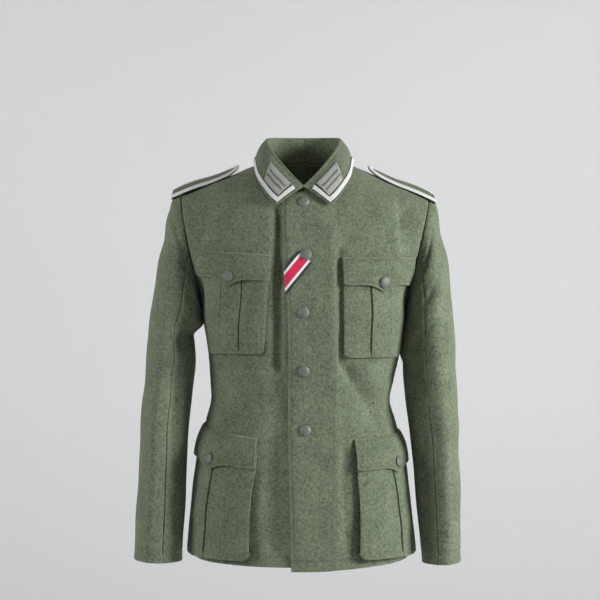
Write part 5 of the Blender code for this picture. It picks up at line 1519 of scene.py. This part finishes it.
eyelets = {
    # distance across and height of the three worked eyelets on each side of the waist
    "places": (
        (-0.1150, -0.3965), (-0.1157, -0.4118), (-0.1172, -0.4295),
        (0.1190, -0.4052), (0.1185, -0.4200), (0.1190, -0.4325),
    ),
    "radius": 0.0023,
    "pit": ((0, -0.0006), (0.0018, -0.0006), (0.0020, -0.0002), (0.0018, 0.0002), (0, 0.00015)),
}


def makeEyelets():
    turn = fullTurn(20)
    for number, (x, z) in enumerate(eyelets["places"], 1):
        side = 1.0 if x > 0 else -1.0
        ringX, ringZ = abs(x) + eyelets["radius"] * np.cos(turn), z + eyelets["radius"] * np.sin(turn)
        path = bodyPoint(side, thetaOf(side, ringX, ringZ), ringZ, 0.0003)
        centre = path.mean(axis=0)
        normal = facingFront(path[0] - centre, path[5] - centre)
        makeHole(f"eyelet{number}", path, normal, eyeletThread)
        # the pit in the middle is near-black: painted shade standing in for the open hole
        pit = lathe(f"eyeletPit{number}", eyelets["pit"], centre + normal * 0.0005, normal, 20, eyeletHoleShade)


makeButtons()
makeEyelets()

print("tunic: shoulder boards and ribbon")

board = {
    "columns": ("reach", "lift", "tilt", "half"),
    "rows": (
        (0.1110, 0.0064, 17.0, 0.0010), (0.1125, 0.0061, 17.0, 0.0075), (0.1160, 0.0054, 17.0, 0.0130),
        (0.1220, 0.0041, 17.0, 0.0178), (0.1310, 0.0029, 17.0, 0.0208), (0.1420, 0.0022, 17.0, 0.0215),
        (0.1590, 0.0019, 18.0, 0.0215), (0.1810, 0.0036, 20.0, 0.0215), (0.1970, 0.0042, 21.0, 0.0215),
        (0.2140, 0.0036, 21.0, 0.0215), (0.2260, 0.0020, 19.0, 0.0215),
    ),
    "thick": 0.0050,
    "widest": 0.0215,
    "middle": 0.002,
    "underlay": 0.0018,
    "piping": 0.00165,
    "laceInset": 0.0022,
    "laceWidth": 0.0056,
    # face and back of the lace, from the strap's thickness, and how far it is domed in the middle
    "lace": (0.0007, -0.0002),
    "domed": 0.0005,
    # below the strap's thickness: the piping's middle and the wool of the top; below the strap: the underlay, a
    # near-black sheet that also stands in for the shadow down to the shoulder
    "pipingDrop": 0.0016,
    "topDrop": 0.0004,
    "underlayDrop": 0.0016,
}


def boardPoint(side, reach, lateral, high):
    # a strap lying along the crest, tilted forward: lateral counts towards the back, high along its own normal
    tilt = np.radians(read(board, "tilt", reach))
    y = board["middle"] + lateral * np.cos(tilt) - high * np.sin(tilt)
    z = crest(side, reach) + read(board, "lift", reach) + lateral * np.sin(tilt) + high * np.cos(tilt)
    return np.stack([side * reach + 0 * y, y, z], axis=-1)


def boardReach(count):
    # distances across from the inner end to the armhole, closest together at the rounded end
    first, last = board["rows"][0][0], board["rows"][-1][0]
    return first + (last - first) * (1 - np.cos(np.linspace(0, math.pi / 2, count)))


def boardOutline(inset, count):
    # front edge from the armhole, round the inner end, back along the other edge; moved in by `inset`
    reach = boardReach(count)
    width = read(board, "half", reach)
    line = np.concatenate([np.stack([reach[::-1], -width[::-1]], axis=1), np.stack([reach, width], axis=1)])
    way = unit(np.gradient(line, axis=0))
    normal = np.stack([-way[:, 1], way[:, 0]], axis=1)
    towards = np.array([0.17, 0.0]) - line
    return line + normal * np.sign((normal * towards).sum(axis=1, keepdims=True) + 1e-12) * inset


def makeBoards():
    reach, across, shares = boardReach(60)[:, None], np.linspace(-1, 1, 27)[None, :], np.linspace(0, 1, 9)
    half = read(board, "half", reach)
    lateral, wide = across * np.maximum(half - 0.0008, 0.0006), across * np.maximum(half, 0.0010)
    for sideName, side in sides.items():
        ending = sideName.title()
        top = boardPoint(side, reach, lateral, board["thick"] - board["topDrop"] + board["domed"] * (1 - across ** 2))
        bottom = boardPoint(side, reach, lateral, board["underlay"] + 0.0002)
        dress(clothWall(f"boardTop{ending}", top, bottom, boardWool), f"shoulder_board_{sideName}")
        # the underlay is taken down to the shoulder towards the outer end: a near-black sheet, part underside cloth and
        # part painted shadow under the strap
        top = boardPoint(side, reach, wide, board["underlay"])
        bottom = boardPoint(side, reach, wide, -board["underlayDrop"] * ease((reach - 0.165) / 0.025))
        clothWall(f"boardUnderlayShadow{ending}", top, bottom, underlayShadowWool)
        line = boardOutline(0.0006, 90).T
        up = boardPoint(side, *line, 0.01) - boardPoint(side, *line, 0.0)
        path = boardPoint(side, *line, board["thick"] - board["pipingDrop"])
        tube(f"boardPiping{ending}", path, up, board["piping"], pipingThread, 10)
        edges = [boardOutline(board["laceInset"] + board["laceWidth"] * share, 80).T for share in shares]
        domes = [board["thick"] + board["domed"] * (1 - (edge[1] / board["widest"]) ** 2) for edge in edges]
        outer, inner = (
            np.stack([boardPoint(side, *edge, dome + rise) for edge, dome in zip(edges, domes)])
            for rise in board["lace"]
        )
        run = borderDistances(outer)["left"][:1] + 0 * outer[..., 0]
        uv = np.stack([run, (shares[:, None] - 0.5) * board["laceWidth"] + 0 * run], axis=-1)
        clothWall(f"boardLace{ending}", outer, inner, boardLace, uv=uv)


ribbon = {
    "width": 0.030, "thick": 0.0008, "slope": 1.25, "start": (-0.0015, -0.004), "pastEdge": 0.0006,
    "swell": 0.0005, "ripple": 0.0002, "cut": (0.030, 0.062, 0.0018),
}


def makeRibbon():
    # a flat strip from the second buttonhole down to the closing edge, then round that edge
    startX, startZ = buttons["front"][1]
    half = ribbon["width"] / 2
    slope = np.array([1.0, ribbon["slope"]]) / math.hypot(1, ribbon["slope"])
    columns, rows = np.linspace(-1, 1, 33)[None, :], np.linspace(0, 1, 41)[:, None]
    xStart = startX + ribbon["start"][0] + slope[1] * half * columns
    zStart = startZ + ribbon["start"][1] - slope[0] * half * columns
    zEnd = zStart + (closing(zStart - 0.03) - xStart) * ribbon["slope"]
    xEnd = closing(zEnd) - ribbon["pastEdge"]
    zEnd = zStart + (xEnd - xStart) * ribbon["slope"]
    x, z = xStart + (xEnd - xStart) * rows, zStart + (zEnd - zStart) * rows
    lift = cloth["thick"] + cloth["lapGap"] + cloth["trimGap"]
    theta = thetaOf(1.0, x, z)
    swell = (ribbon["swell"] + ribbon["ripple"] * np.sin(9 * rows + 2 * columns)) * np.sin(math.pi * rows)
    outer = bodyPoint(1.0, theta, z, lift + ribbon["thick"] + swell)
    inner = bodyPoint(1.0, theta, z, lift + swell)
    turned = []
    for share in (0.4, 1.0):
        back = (ribbon["thick"] + cloth["trimGap"] + cloth["thick"]) * share
        high, low = outer[-1:].copy(), inner[-1:].copy()
        high[..., 0] -= ribbon["thick"]
        high[..., 1] += back
        low[..., 1] += (cloth["trimGap"] + cloth["thick"]) * share
        turned.append((high, low))
    outer[-1, :, 0] -= ribbon["thick"] * 0.6
    outer = np.concatenate([outer, *[pair[0] for pair in turned]])
    inner = np.concatenate([inner, *[pair[1] for pair in turned]])
    run = borderDistances(outer)["first"]
    uv = np.stack([run, (columns + 1) / 2 + 0 * run], axis=-1)
    piece = clothWall("stripedRibbon", outer, inner, ribbonSilk, uv=uv)
    return dress(piece, "ribbon")


makeBoards()
stripedRibbon = makeRibbon()
